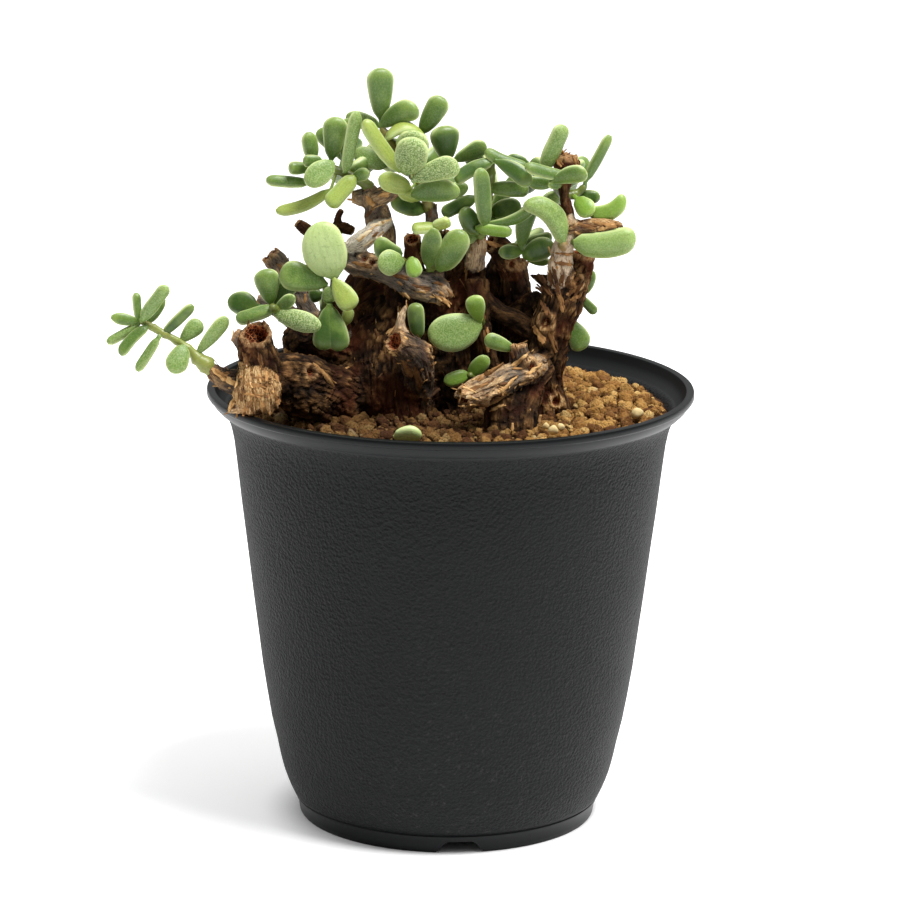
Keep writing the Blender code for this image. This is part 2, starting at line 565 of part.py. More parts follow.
def notch_cutter(turn):
    """A trapezoid bar that cuts one notch through the foot ring."""
    near = FOOT_RADIUS - 2 * FOOT_WIDTH
    far = FOOT_RADIUS + 2 * FOOT_WIDTH
    section = [(-NOTCH_FOOT / 2, -1 * MM), (NOTCH_FOOT / 2, -1 * MM), (NOTCH_FOOT / 2, 0.0),
               (NOTCH_TOP / 2, NOTCH_HEIGHT), (-NOTCH_TOP / 2, NOTCH_HEIGHT), (-NOTCH_FOOT / 2, 0.0)]
    place = Matrix.Translation((POT_X, 0, 0)) @ Matrix.Rotation(turn, 4, "Z")
    points = [place @ Vector((reach, side, height)) for reach in (near, far) for side, height in section]
    count = len(section)
    faces = [tuple(range(count)), tuple(range(2 * count - 1, count - 1, -1))]
    faces += [(n, (n + 1) % count, count + (n + 1) % count, count + n) for n in range(count)]
    return object_from("notch", points, faces)


def drain_cutter(turn):
    """A round peg for one drainage hole."""
    sides = 10
    middle = Vector((POT_X + DRAIN_CIRCLE * math.cos(turn), DRAIN_CIRCLE * math.sin(turn), 0))
    points = []
    for height in (FLOOR_Z - WALL, FLOOR_Z + 2 * WALL):
        for step in range(sides):
            angle = math.tau * step / sides
            spoke = Vector((DRAIN_RADIUS * math.cos(angle), DRAIN_RADIUS * math.sin(angle), height))
            points.append(middle + spoke)
    faces = [tuple(range(sides)), tuple(range(2 * sides - 1, sides - 1, -1))]
    faces += [(n, (n + 1) % sides, sides + (n + 1) % sides, sides + n) for n in range(sides)]
    return object_from("drain", points, faces)


def make_soil(material):
    """The soil: a filling that follows the pot's inside, with grains raised from its top."""
    wall = [(radius - GAP, height) for radius, height in inner_profile() if height < SOIL_Z - 1 * MM]
    inside = [wall[0], wall[1], wall[-2], (wall[-1][0], FLOOR_Z + WALL + GAP)]
    top_radius = wall[0][0] + 1.6 * MM
    points = [Vector((POT_X, 0, SOIL_Z))]
    faces = []
    start = 0
    for ring in range(1, SOIL_RINGS + 1):
        here = len(points)
        count = 6 * ring
        for step in range(count):
            angle = math.tau * step / count
            radius = top_radius * ring / SOIL_RINGS
            spot = Vector((radius * math.cos(angle), radius * math.sin(angle), 0))
            rise = 0.0 if ring == SOIL_RINGS else SOIL_RELIEF * grain_rise(spot)
            points.append(Vector((POT_X + spot.x, spot.y, SOIL_Z + SOIL_SLOPE * spot.y + rise)))
        faces += ring_faces(start, here, ring)
        start = here
    count = 6 * SOIL_RINGS
    for radius, height in inside:
        here = len(points)
        for step in range(count):
            angle = math.tau * step / count
            points.append(Vector((POT_X + radius * math.cos(angle), radius * math.sin(angle), height)))
        for n in range(count):
            after = (n + 1) % count
            faces.append((start + n, here + n, here + after, start + after))
        start = here
    faces.append(tuple(start + n for n in range(count)))
    return object_from("soil", points, faces, material)


def ring_faces(inner_start, outer_start, ring):
    """Triangles between two rings of a disc that has six more points on each ring."""
    faces = []
    inner_count = max(6 * (ring - 1), 1)
    outer_count = 6 * ring
    for sector in range(6):
        for step in range(ring):
            outer = outer_start + (sector * ring + step) % outer_count
            after = outer_start + (sector * ring + step + 1) % outer_count
            inner = inner_start + (sector * (ring - 1) + step) % inner_count
            faces.append((inner, outer, after))
            if step < ring - 1:
                beside = inner_start + (sector * (ring - 1) + step + 1) % inner_count
                faces.append((inner, after, beside))
    return faces


def grain_rise(spot):
    """The grains' relief at a spot, from -1 to 1."""
    return max(-1.0, min(1.0, 2.2 * noise.noise(spot / GRAIN)))


def frames_along(path):
    """Two cross directions at each point of a path, carried along it without a twist."""
    tangents = []
    for n in range(len(path)):
        before = path[max(n - 1, 0)]
        after = path[min(n + 1, len(path) - 1)]
        tangents.append((after - before).normalized())
    side = tangents[0].orthogonal().normalized()
    frames = []
    for tangent in tangents:
        side = (side - tangent * side.dot(tangent)).normalized()
        frames.append((tangent, side, tangent.cross(side)))
    return frames


def make_tube(name, limb, grow=0.0):
    """A closed limb along its stations, made thicker all round by grow."""
    thickest = max(radius for column, row, depth, radius in limb.path)
    sides = next(count for reach, count in LIMB_SIDES if thickest <= reach)
    path = [seen(column, row, depth) for column, row, depth, radius in limb.path]
    radii = [radius * MM for column, row, depth, radius in limb.path]
    frames = frames_along(path)
    rings = [(point, radius, frame) for point, radius, frame in zip(path, radii, frames)]
    tangent, side, cross = frames[0]
    if limb.start == "round":
        rings.insert(0, (path[0] - tangent * radii[0] * 0.5, radii[0] * 0.6, frames[0]))
    tangent, side, cross = frames[-1]
    last = path[-1]
    if limb.end == "round":
        rings.append((last + tangent * radii[-1] * 0.5, radii[-1] * 0.6, frames[-1]))
    points = []
    for middle, radius, (tangent, side, cross) in rings:
        for step in range(sides):
            angle = math.tau * step / sides
            out = side * math.cos(angle) + cross * math.sin(angle)
            lump = 1.0 + BARK_RELIEF * noise.noise((middle + out * radius) / (3.0 * MM))
            points.append(middle + out * (radius * lump + grow))
    cap = (last - path[-2]).normalized()
    if limb.end == "hollow" and not grow:
        for step in range(sides):
            angle = math.tau * step / sides
            out = side * math.cos(angle) + cross * math.sin(angle)
            points.append(last + out * radii[-1] * HOLLOW_WIDTH)
    rows = len(points) // sides
    start = len(points)
    points.append(rings[0][0] - frames[0][0] * (grow + 0.12 * rings[0][1]))
    reach = {"round": 0.2, "cut": 0.08, "point": 2.0, "hollow": 0.08}[limb.end]
    if limb.end == "hollow" and not grow:
        points.append(last - cap * radii[-1] * HOLLOW_DEPTH)
    else:
        points.append(rings[-1][0] + cap * (grow + reach * rings[-1][1]))
    faces = []
    for n in range(sides):
        m = (n + 1) % sides
        faces.append((start, m, n))
        for row in range(rows - 1):
            here = row * sides
            faces.append((here + n, here + m, here + sides + m, here + sides + n))
        faces.append((start + 1, (rows - 1) * sides + n, (rows - 1) * sides + m))
    return object_from(name, points, faces)


def make_wood(name, grow=0.0, material=None):
    """The whole caudex as one body, with every limb fused to it."""
    pieces = [make_tube(limb_name, limb, grow) for limb_name, limb in LIMBS.items()]
    wood = pieces[0]
    boolean(wood, pieces[1:], "UNION")
    wood.name = name
    if material:
        wood.data.materials.clear()
        wood.data.materials.append(material)
    return wood


def rim_guard():
    """The space round the pot's lip that the wood keeps clear of."""
    inner = RIM_RADIUS - LIP_WIDTH - 5.5 * MM
    low = COVE_Z - 2 * MM
    outline = [(RIM_RADIUS + 2 * MM, low), (RIM_RADIUS + 2 * MM, POT_HEIGHT + GAP),
               (RIM_RADIUS - LIP_WIDTH - GAP, POT_HEIGHT + GAP), (inner, low)]
    return object_from("rim_guard", *turned(outline, POT_SEGMENTS))


def leaf_breadth(along, form):
    """The breadth of a leaf at a share of its length, where 1 is its widest."""
    foot, full, shoulder, thickness = FORMS[form]
    rise = 1.0 - (1.0 - foot) * max(0.0, 1.0 - along / full) ** 1.8
    fall = max(0.0, along - shoulder) / (1.0 - shoulder)
    return rise * max(0.0, 1.0 - fall ** 2.3) ** 0.5


def make_leaf(name, root, tip, width, roll=0.0, bend=0.0, form="o", grow=0.0, origin=None):
    """A plump leaf of one of the forms, whose foot runs into the stem at origin."""
    length = tip - root
    along = length.normalized()
    to_eye = (EYE - root).normalized()
    face = Matrix.Rotation(math.radians(roll), 3, along) @ (to_eye - along * to_eye.dot(along)).normalized()
    across = along.cross(face)
    lift = to_eye.cross(along)
    thick = min(max(FORMS[form][3] * width, 1.9 * MM), 3.8 * MM)
    shares = SLIM_LEAF_RINGS if width < SLIM_LEAF else LEAF_RINGS
    foot = origin - (root + length * shares[0] - origin).normalized() * LEAF_FOOT if origin else root
    points = []
    for share in shares:
        half = leaf_breadth(share, form)
        middle = root + length * share + lift * (bend * MM * math.sin(math.pi * share))
        points += oval(middle, across, face, width / 2 * half + grow, thick / 2 * half ** 0.8 + grow)
    return ringed_body(name, points, LEAF_SIDES, foot - along * grow, tip + along * grow)


def oval(middle, across, face, wide, deep):
    """One ring of a leaf."""
    turns = [math.tau * step / LEAF_SIDES for step in range(LEAF_SIDES)]
    return [middle + across * (math.cos(turn) * wide) + face * (math.sin(turn) * deep) for turn in turns]


def ringed_body(name, points, sides, first, last):
    """A closed body from rings of points, drawn to a point at both ends."""
    count = len(points)
    rows = count // sides
    faces = []
    for n in range(sides):
        m = (n + 1) % sides
        faces.append((count, m, n))
        for here in range(0, (rows - 1) * sides, sides):
            faces.append((here + n, here + m, here + sides + m, here + sides + n))
        faces.append((count + 1, count - sides + n, count - sides + m))
    return object_from(name, points + [first, last], faces)


def nearest_on(path, point):
    """The point of a path that is nearest to a point."""
    best = path[0]
    for start, end in zip(path, path[1:]):
        run = end - start
        share = max(0.0, min(1.0, (point - start).dot(run) / run.length_squared))
        spot = start + run * share
        if (spot - point).length < (best - point).length:
            best = spot
    return best


def leaf_places(name, shoot):
    """Root, tip, width, roll, bend and form of every leaf of a shoot, the far ones by rule."""
    path = [seen(column, row, depth) for column, row, depth, radius in shoot.stem]
    places = []
    for leaf, form in zip(shoot.leaves, shoot.forms, strict=True):
        flat = seen(*leaf.root, shoot.stem[0][2])
        near = nearest_on(path, flat)
        depth = -near.y / MM + leaf.out
        root = seen(*leaf.root, depth)
        tip = seen(*leaf.tip, depth + leaf.lean)
        places.append((root, tip, leaf.width * MM, leaf.roll, leaf.bend, form))
    draw = random.Random(name)
    for n in range(shoot.behind):
        share = (n + 0.5) / shoot.behind * (len(path) - 1)
        start = path[int(share)].lerp(path[int(share) + 1], share % 1.0)
        turn = math.radians(n * 137.5)
        aim = Vector((math.cos(turn), 0.9 + 0.5 * draw.random(), 0.55 * math.sin(turn) + 0.25)).normalized()
        size = draw.uniform(8.5, 11.5) * MM
        places.append((start + aim * 0.8 * MM, start + aim * size, draw.uniform(4.0, 5.2) * MM,
                       draw.uniform(-60, 60), draw.uniform(-0.6, 0.6), "o"))
    return path, places


def back_shoot(name, start, end, count):
    """A shoot on the far side: a short stem with leaves set round it in turn."""
    draw = random.Random(name)
    first = seen(*start)
    last = seen(*end)
    along = (last - first).normalized()
    side = along.orthogonal().normalized()
    cross = along.cross(side)
    places = []
    for n in range(count):
        share = 0.35 + 0.65 * n / (count - 1)
        turn = math.radians(n * 137.5)
        aim = side * math.cos(turn) + cross * math.sin(turn) + along * (0.25 + 0.7 * share)
        if aim.y < 0:
            aim.y *= 0.35
        if aim.z < 0:
            aim.z *= 0.45
        aim.normalize()
        spot = first.lerp(last, share)
        size = draw.uniform(8.5, 11.5) * MM
        places.append((spot + aim * 0.8 * MM, spot + aim * size, draw.uniform(4.2, 5.6) * MM,
                       draw.uniform(-50, 50), draw.uniform(-0.6, 0.6), "so"[n % 2]))
    return [first, last], places


def shoot_pieces(name, path, radii, places, grow=0.0):
    """The stem and the leaves of a shoot, as loose closed bodies."""
    pieces = [stem_tube(name, path, radii, grow)]
    for n, (root, *rest) in enumerate(places):
        pieces.append(make_leaf(f"{name}_leaf_{n}", root, *rest, grow, nearest_on(path, root)))
    return pieces


def stem_tube(name, path, radii, grow):
    """A slim six-sided stem along its path."""
    sides = 6
    frames = frames_along(path)
    points = []
    for middle, radius, (tangent, side, cross) in zip(path, radii, frames):
        for step in range(sides):
            angle = math.tau * step / sides
            points.append(middle + (side * math.cos(angle) + cross * math.sin(angle)) * (radius + grow))
    first = path[0] - frames[0][0] * (grow + 0.3 * MM)
    last = path[-1] + frames[-1][0] * (grow + 0.5 * MM)
    return ringed_body(name + "_stem", points, sides, first, last)


def boxes_meet(one, other):
    """Whether the boxes of two objects overlap."""
    low = [min(v.co[k] for v in one.data.vertices) for k in range(3)]
    high = [max(v.co[k] for v in one.data.vertices) for k in range(3)]
    for k in range(3):
        other_low = min(v.co[k] for v in other.data.vertices)
        other_high = max(v.co[k] for v in other.data.vertices)
        if other_low > high[k] or other_high < low[k]:
            return False
    return True


def make_shoots(wood_guard, greens):
    """Every leafy shoot as one body, clear of the wood and of the shoots made before it."""
    plans = []
    for name, shoot in SHOOTS.items():
        path, places = leaf_places(name, shoot)
        radii = [radius * MM for column, row, depth, radius in shoot.stem]
        plans.append((name, path, radii, places, shoot.tone))
    for name, (start, end, count) in BACK_SHOOTS.items():
        path, places = back_shoot(name, start, end, count)
        plans.append(("shoot_" + name, path, [1.2 * MM, 0.8 * MM], places, "mid"))
    guards = []
    for name, path, radii, places, tone in plans:
        pieces = shoot_pieces(name, path, radii, places)
        shoot = pieces[0]
        boolean(shoot, pieces[1:], "UNION")
        shoot.name = name
        cutters = [copy_of(guard, "cutter") for guard in [wood_guard] + guards if boxes_meet(shoot, guard)]
        if cutters:
            boolean(shoot, cutters, "DIFFERENCE")
        keep_largest(shoot)
        thin_out(shoot, SHOOT_KEPT)
        shoot.data.materials.clear()
        shoot.data.materials.append(greens[tone])
        grown = shoot_pieces(name + "_guard", path, radii, places, GAP)
        boolean(grown[0], grown[1:], "UNION")
        guards.append(grown[0])
    for guard in guards:
        bpy.data.objects.remove(guard, do_unlink=True)


def make_fallen_leaf(material):
    """One loose leaf that lies in a shallow dent of the soil, and the guard that makes the dent."""
    root = seen(394, 437, 35.5)
    tip = seen(421, 433, 37)
    leaf = make_leaf("fallen_leaf", root, tip, 4.6 * MM, 50)
    leaf.data.materials.append(material)
    guard = make_leaf("fallen_guard", root, tip, 4.6 * MM, 50, grow=GAP)
    return leaf, guard


def main():
    clear_scene()
    black = finish("black_plastic", (0.025, 0.028, 0.028), 0.5)
    brown = finish("clay_soil", (0.38, 0.20, 0.075), 0.95)
    bark = finish("bark", (0.16, 0.085, 0.045), 0.85)
    greens = {tone: finish("leaf_" + tone, colour, 0.5) for tone, colour in TONES.items()}

    make_pot(black)
    soil = make_soil(brown)
    wood = make_wood("wood", 0.0, bark)
    boolean(wood, [rim_guard()], "DIFFERENCE")
    keep_largest(wood)
    thin_out(wood, WOOD_KEPT)
    wood_guard = make_wood("wood_guard", GAP)
    fallen_leaf, fallen_guard = make_fallen_leaf(greens["pale"])
    boolean(soil, [make_wood("hole", SOIL_GAP), fallen_guard], "DIFFERENCE")
    keep_largest(soil)
    make_shoots(wood_guard, greens)
    bpy.data.objects.remove(wood_guard, do_unlink=True)


main()
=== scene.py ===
# %% [markdown]
# # A potted ceraria
#
# This notebook dresses a packed CAD model of a small potted succulent: a black nursery pot, a
# filling of clay granules, a pruned and gnarled caudex, and bunches of plump leaves. The CAD model
# is the frame. It says where everything is, so every piece here is built in its coordinates, in
# metres, and nothing has to be fitted afterwards.

# %% Load the frame
import json
import math
import random
from collections import namedtuple
from contextlib import contextmanager

import bmesh
import bpy
import numpy as np
from mathutils import Matrix, Vector, noise

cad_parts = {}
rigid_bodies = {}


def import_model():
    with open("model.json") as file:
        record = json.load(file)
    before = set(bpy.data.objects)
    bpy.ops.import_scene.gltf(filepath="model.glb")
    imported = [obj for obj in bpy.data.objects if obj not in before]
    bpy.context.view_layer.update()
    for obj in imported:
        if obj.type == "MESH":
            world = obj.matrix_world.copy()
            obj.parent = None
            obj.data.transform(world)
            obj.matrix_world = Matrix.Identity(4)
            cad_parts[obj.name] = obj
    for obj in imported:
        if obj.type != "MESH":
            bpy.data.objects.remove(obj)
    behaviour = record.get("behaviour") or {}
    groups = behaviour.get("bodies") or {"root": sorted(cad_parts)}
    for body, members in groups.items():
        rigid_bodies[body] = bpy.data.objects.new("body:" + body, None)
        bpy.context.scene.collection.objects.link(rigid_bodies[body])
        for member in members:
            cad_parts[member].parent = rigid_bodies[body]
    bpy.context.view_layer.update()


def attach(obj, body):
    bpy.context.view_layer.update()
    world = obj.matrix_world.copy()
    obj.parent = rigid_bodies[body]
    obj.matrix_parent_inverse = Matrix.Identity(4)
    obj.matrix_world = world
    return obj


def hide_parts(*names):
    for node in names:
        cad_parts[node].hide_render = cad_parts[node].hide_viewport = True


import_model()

MM = 0.001

# %% [markdown]
# ## The eye
#
# The picture was taken from a little above the rim with a long lens. Its place was worked out from
# the round rim and foot of the pot, whose real sizes are known. The same numbers turn a point of
# the picture and a depth into a place in the model, which is how the limbs and leaves are laid out.
# Rotating the camera by hand would be simpler, but a matrix built from the three view directions
# leaves no doubt about the small roll.

# %% Camera
POT_X = 10.0 * MM
EYE = Vector((POT_X, -953.6 * MM, 315.0 * MM))
EYE_PITCH = 0.2409
EYE_ROLL = -0.0104
FOCAL_LENGTH = 4541.4        # in picture widths of 900
PICTURE_SIZE = 900
PICTURE_MIDDLE = 450.0
SENSOR = 36.0

view_forward = Vector((0.0, math.cos(EYE_PITCH), -math.sin(EYE_PITCH)))
view_up = Vector((0.0, math.sin(EYE_PITCH), math.cos(EYE_PITCH)))
view_right = Vector((1.0, 0.0, 0.0))


def place_camera():
    """The camera at the eye, rolled a little, as the picture is."""
    right = view_right * math.cos(EYE_ROLL) - view_up * math.sin(EYE_ROLL)
    up = view_up * math.cos(EYE_ROLL) + view_right * math.sin(EYE_ROLL)
    camera = bpy.data.objects.new("eye", bpy.data.cameras.new("eye"))
    bpy.context.scene.collection.objects.link(camera)
    camera.data.sensor_width = SENSOR
    camera.data.lens = FOCAL_LENGTH * SENSOR / PICTURE_SIZE
    turn = Matrix((right, up, -view_forward)).transposed().to_4x4()
    camera.matrix_world = Matrix.Translation(EYE) @ turn
    bpy.context.scene.camera = camera
    return camera


def seen(column, row, depth):
    """The point behind a picture point, at a depth in mm in front of the pot's axis."""
    across = column - PICTURE_MIDDLE
    above = PICTURE_MIDDLE - row
    right = (across * math.cos(EYE_ROLL) + above * math.sin(EYE_ROLL)) / FOCAL_LENGTH
    up = (above * math.cos(EYE_ROLL) - across * math.sin(EYE_ROLL)) / FOCAL_LENGTH
    ray = view_forward + view_right * right + view_up * up
    return EYE + ray * ((-depth * MM - EYE.y) / ray.y)


eye = place_camera()
print("lens", round(eye.data.lens, 1), "mm; the rim's middle is at", seen(450, 386, 0))

# %% [markdown]
# ## Writing materials as sums
#
# A material is a chain of small nodes. Placing them one by one hides the idea, so a socket is
# wrapped in a class whose operators add the Math nodes. Then `1 - mask * 0.5` is the chain. One
# method makes every other node, for shader trees and for Geometry Nodes trees alike.

# %% Nodes as expressions


def pick(sockets, key):
    """A socket by its place, or the one in use of that name."""
    if isinstance(key, int):
        return sockets[key]
    return next(socket for socket in sockets if socket.name == key and socket.enabled)


class Wire:
    """One output socket. Arithmetic on it adds Math nodes."""

    def __init__(self, nodes, socket):
        self.nodes = nodes
        self.socket = socket

    def combine(self, operation, first, second):
        return self.nodes.add("ShaderNodeMath", {"operation": operation}, {0: first, 1: second})

    def __add__(self, other):
        return self.combine("ADD", self, other)

    def __sub__(self, other):
        return self.combine("SUBTRACT", self, other)

    def __rsub__(self, other):
        return self.combine("SUBTRACT", other, self)

    def __mul__(self, other):
        return self.combine("MULTIPLY", self, other)

    def __truediv__(self, other):
        return self.combine("DIVIDE", self, other)

    def __pow__(self, other):
        return self.combine("POWER", self, other)

    __radd__ = __add__
    __rmul__ = __mul__


print("sockets add, subtract, multiply, divide and take powers")

# %% [markdown]
# The nodes that this lesson needs again and again are methods: noise and cells for texture, a
# smooth step between two values, a mix of two colours, a colour ramp and a bump. The last four
# belong to Geometry Nodes trees: a test, a random draw, copies on points and a value on each copy.

# %% Ready-made nodes


class Nodes:
    """A node tree that is written as Python expressions."""

    def __init__(self, tree):
        self.tree = tree

    def add(self, kind, settings=None, sockets=None, out=0):
        node = self.tree.nodes.new(kind)
        for key, value in (settings or {}).items():
            setattr(node, key, value)
        for key, value in (sockets or {}).items():
            socket = pick(node.inputs, key)
            if isinstance(value, Wire):
                self.tree.links.new(value.socket, socket)
            elif isinstance(value, (list, tuple)) and isinstance(value[0], Wire):
                for wire in value:
                    self.tree.links.new(wire.socket, socket)
            else:
                socket.default_value = value
        return Wire(self, pick(node.outputs, out)) if node.outputs else node

    def ramp(self, value, *stops):
        """A colour for a value, between stops given as a place and a screen colour."""
        tone = self.add("ShaderNodeValToRGB", sockets={"Fac": value})
        elements = tone.socket.node.color_ramp.elements
        while len(elements) > 1:
            elements.remove(elements[-1])
        elements[0].position, elements[0].color = stops[0][0], colour(*stops[0][1:])
        for position, *screen in stops[1:]:
            elements.new(position).color = colour(*screen)
        return tone

    def value(self, name, out="Fac"):
        return self.add("ShaderNodeAttribute", {"attribute_name": name}, out=out)

    def axis(self, vector, name):
        return self.add("ShaderNodeSeparateXYZ", sockets={0: vector}, out=name)

    def distance(self, first, second):
        return self.add("ShaderNodeVectorMath", {"operation": "DISTANCE"}, {0: first, 1: second}, out="Value")

    def place(self):
        return self.add("ShaderNodeTexCoord", out="Object")

    def cloud(self, scale, detail=3.0, rough=0.55, vector=None):
        sockets = {"Vector": vector or self.place(), "Scale": scale, "Detail": detail, "Roughness": rough}
        return self.add("ShaderNodeTexNoise", sockets=sockets)

    def cells(self, scale, feature="F1", vector=None):
        sockets = {"Vector": vector or self.place(), "Scale": scale}
        return self.add("ShaderNodeTexVoronoi", {"feature": feature}, sockets, out="Distance")

    def step(self, value, low, high, bottom=0.0, top=1.0):
        sockets = {"Value": value, "From Min": low, "From Max": high, "To Min": bottom, "To Max": top}
        return self.add("ShaderNodeMapRange", {"interpolation_type": "SMOOTHSTEP"}, sockets)

    def blend(self, share, first, second):
        """A mix of two colours, each a wire or the 0 to 255 numbers of a screen."""
        first, second = (side if isinstance(side, Wire) else colour(*side) for side in (first, second))
        settings = {"data_type": "RGBA", "clamp_factor": True}
        return self.add("ShaderNodeMix", settings, {0: share, 6: first, 7: second}, out=2)

    def bump(self, height, distance, strength=1.0, under=None):
        sockets = {"Height": height, "Distance": distance, "Strength": strength}
        if under:
            sockets["Normal"] = under
        return self.add("ShaderNodeBump", sockets=sockets)

    def above(self, value, limit):
        sockets = {0: value, 1: limit}
        return self.add("FunctionNodeCompare", {"operation": "GREATER_THAN"}, sockets, out="Result")

    def drawn(self, low, high, seed):
        """A random number or vector for every copy, between two limits."""
        kind = "FLOAT_VECTOR" if isinstance(low, tuple) else "FLOAT"
        sockets = {"Min": low, "Max": high, "Seed": seed}
        return self.add("FunctionNodeRandomValue", {"data_type": kind}, sockets, out="Value")

    def copies(self, points, kinds, turn, size):
        """One of a collection's shapes on every point."""
        choice = self.add("GeometryNodeCollectionInfo",
                          sockets={"Collection": kinds, "Separate Children": True})
        return self.add("GeometryNodeInstanceOnPoints", sockets={
            "Points": points, "Instance": choice, "Pick Instance": True, "Rotation": turn, "Scale": size})

    def mark(self, copies, name, value):
        """Store a value on every copy."""
        return self.add("GeometryNodeStoreNamedAttribute", {"data_type": "FLOAT", "domain": "INSTANCE"},
                        {"Geometry": copies, "Name": name, "Value": value})


print(len([name for name in vars(Nodes) if name[0] != "_"]), "ready-made nodes")

# %% [markdown]
# Colours are easier to judge as the numbers that a screen shows, but a shader adds light, so the
# numbers are made linear. A finish is one Principled shader. What stays the same all over goes on
# its own sockets, and what varies comes from a function that returns wires.

# %% Colours and finishes


def colour(red, green, blue):
    """A colour as a shader takes it, from the 0 to 255 numbers of a screen."""
    def linear(part):
        part = part / 255
        return part / 12.92 if part <= 0.04045 else ((part + 0.055) / 1.055) ** 2.4
    return (linear(red), linear(green), linear(blue), 1.0)


def finish(name, build, **constants):
    """A material whose build function returns what goes into the shader's sockets."""
    material = bpy.data.materials.new(name)
    material.use_nodes = True
    nodes = Nodes(material.node_tree)
    shader = material.node_tree.nodes["Principled BSDF"]
    for key, value in constants.items():
        shader.inputs[key.replace("_", " ").title().replace("Ior", "IOR")].default_value = value
    for key, wire in build(nodes).items():
        material.node_tree.links.new(wire.socket, shader.inputs[key])
    print(name, "is a finish of", len(nodes.tree.nodes), "nodes")
    return material


print("the grey of screen number 128 is", round(colour(128, 128, 128)[0], 3), "in light")

# %% [markdown]
# ## Meshes and Geometry Nodes trees
#
# Every mesh ends as plain points and faces at the origin, like the CAD solids. `solid` makes one
# from arrays, with any values that its material reads stored on its points. `grow` runs a Geometry
# Nodes tree over an object and keeps only the plain mesh that comes out.

# %% Mesh helpers


def solid(name, points, faces, material, values=None, colours=None):
    """A smooth object from points and faces, with values for its material on the points."""
    mesh = bpy.data.meshes.new(name)
    mesh.from_pydata([tuple(point) for point in points], [], faces)
    store(mesh, "FLOAT", values or {})
    store(mesh, "FLOAT_COLOR", colours or {})
    mesh.shade_smooth()
    mesh.materials.append(material)
    made = bpy.data.objects.new(name, mesh)
    bpy.context.scene.collection.objects.link(made)
    return made


def store(mesh, kind, values):
    """Put values, vectors or colours on a mesh's points."""
    place = {"FLOAT": "value", "FLOAT_VECTOR": "vector", "FLOAT_COLOR": "color"}[kind]
    for key, numbers in values.items():
        layer = mesh.attributes.new(key, kind, "POINT")
        layer.data.foreach_set(place, np.asarray(numbers, np.float32).ravel())


@contextmanager
def edited(piece):
    """A piece's mesh opened for editing, and put back afterwards."""
    work = bmesh.new()
    work.from_mesh(piece.data)
    yield work
    work.to_mesh(piece.data)
    work.free()


def turn_outward(piece):
    """Make every face of a piece look outward."""
    with edited(piece) as work:
        bmesh.ops.recalc_face_normals(work, faces=work.faces)


def kinds_of(name, shapes):
    """A collection of loose shapes for a tree to copy."""
    kinds = bpy.data.collections.new(name)
    for shape in shapes:
        kinds.objects.link(shape)
    return kinds


def drop_kinds(kinds):
    """Remove a collection of shapes that have been copied."""
    for shape in list(kinds.objects):
        bpy.data.objects.remove(shape, do_unlink=True)
    bpy.data.collections.remove(kinds)


def baked(piece):
    """Replace a piece's mesh by what its modifiers make of it."""
    evaluated = piece.evaluated_get(bpy.context.evaluated_depsgraph_get())
    mesh = bpy.data.meshes.new_from_object(evaluated)
    piece.modifiers.clear()
    piece.data = mesh
    return piece


print("mesh helpers ready")

# %% [markdown]
# A Geometry Nodes tree takes a mesh and named sizes and gives a mesh. Its last nodes are always the
# same: the copies become real faces, which are smooth and carry their material. The sizes are set
# on the modifier, by the identifier of each socket.

# %% Tree helpers


def new_tree(name, inputs):
    """A Geometry Nodes tree with a mesh in, a mesh out and named sizes."""
    tree = bpy.data.node_groups.new(name, "GeometryNodeTree")
    tree.interface.new_socket("Geometry", in_out="INPUT", socket_type="NodeSocketGeometry")
    for key, kind in inputs.items():
        tree.interface.new_socket(key, in_out="INPUT", socket_type="NodeSocket" + kind)
    tree.interface.new_socket("Geometry", in_out="OUTPUT", socket_type="NodeSocketGeometry")
    nodes = Nodes(tree)
    entry = tree.nodes.new("NodeGroupInput")
    return nodes, {socket.name: Wire(nodes, socket) for socket in entry.outputs if socket.name}


def close_tree(nodes, geometry, material):
    """Turn copies into real faces, give them their material, and hand them out."""
    real = nodes.add("GeometryNodeRealizeInstances", sockets={"Geometry": geometry})
    smooth = nodes.add("GeometryNodeSetShadeSmooth", sockets={"Geometry": real})
    dressed = nodes.add("GeometryNodeSetMaterial", sockets={"Geometry": smooth, "Material": material})
    exit_node = nodes.tree.nodes.new("NodeGroupOutput")
    nodes.tree.links.new(dressed.socket, exit_node.inputs[0])


def grow(piece, nodes, sizes):
    """Run a tree over a piece with the given sizes and keep the plain mesh."""
    step = piece.modifiers.new("grow", "NODES")
    step.node_group = nodes.tree
    for item in nodes.tree.interface.items_tree:
        if item.in_out == "INPUT" and item.name in sizes:
            step[item.identifier] = sizes[item.name]
    return baked(piece)


def settle(piece, slot, *nodes):
    """Seat a finished piece on the frame: it rides on the one body and stands for CAD nodes."""
    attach(piece, "root")
    if nodes:
        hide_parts(*nodes)
    print(piece.name, sum(len(face.vertices) - 2 for face in piece.data.polygons), "triangles")


print("tree helpers ready")


# %% [markdown]
# ## The pot
#
# A nursery pot is one thin moulding: a notched foot ring, a tapered wall that bellies a little,
# a cove under the rim and a rolled lip. Its shape follows one rule, a profile turned about an axis,
# so a Geometry Nodes tree sweeps the profile round a circle. The notches and the drain holes are
# then cut with a Boolean, because they repeat at only a few places.

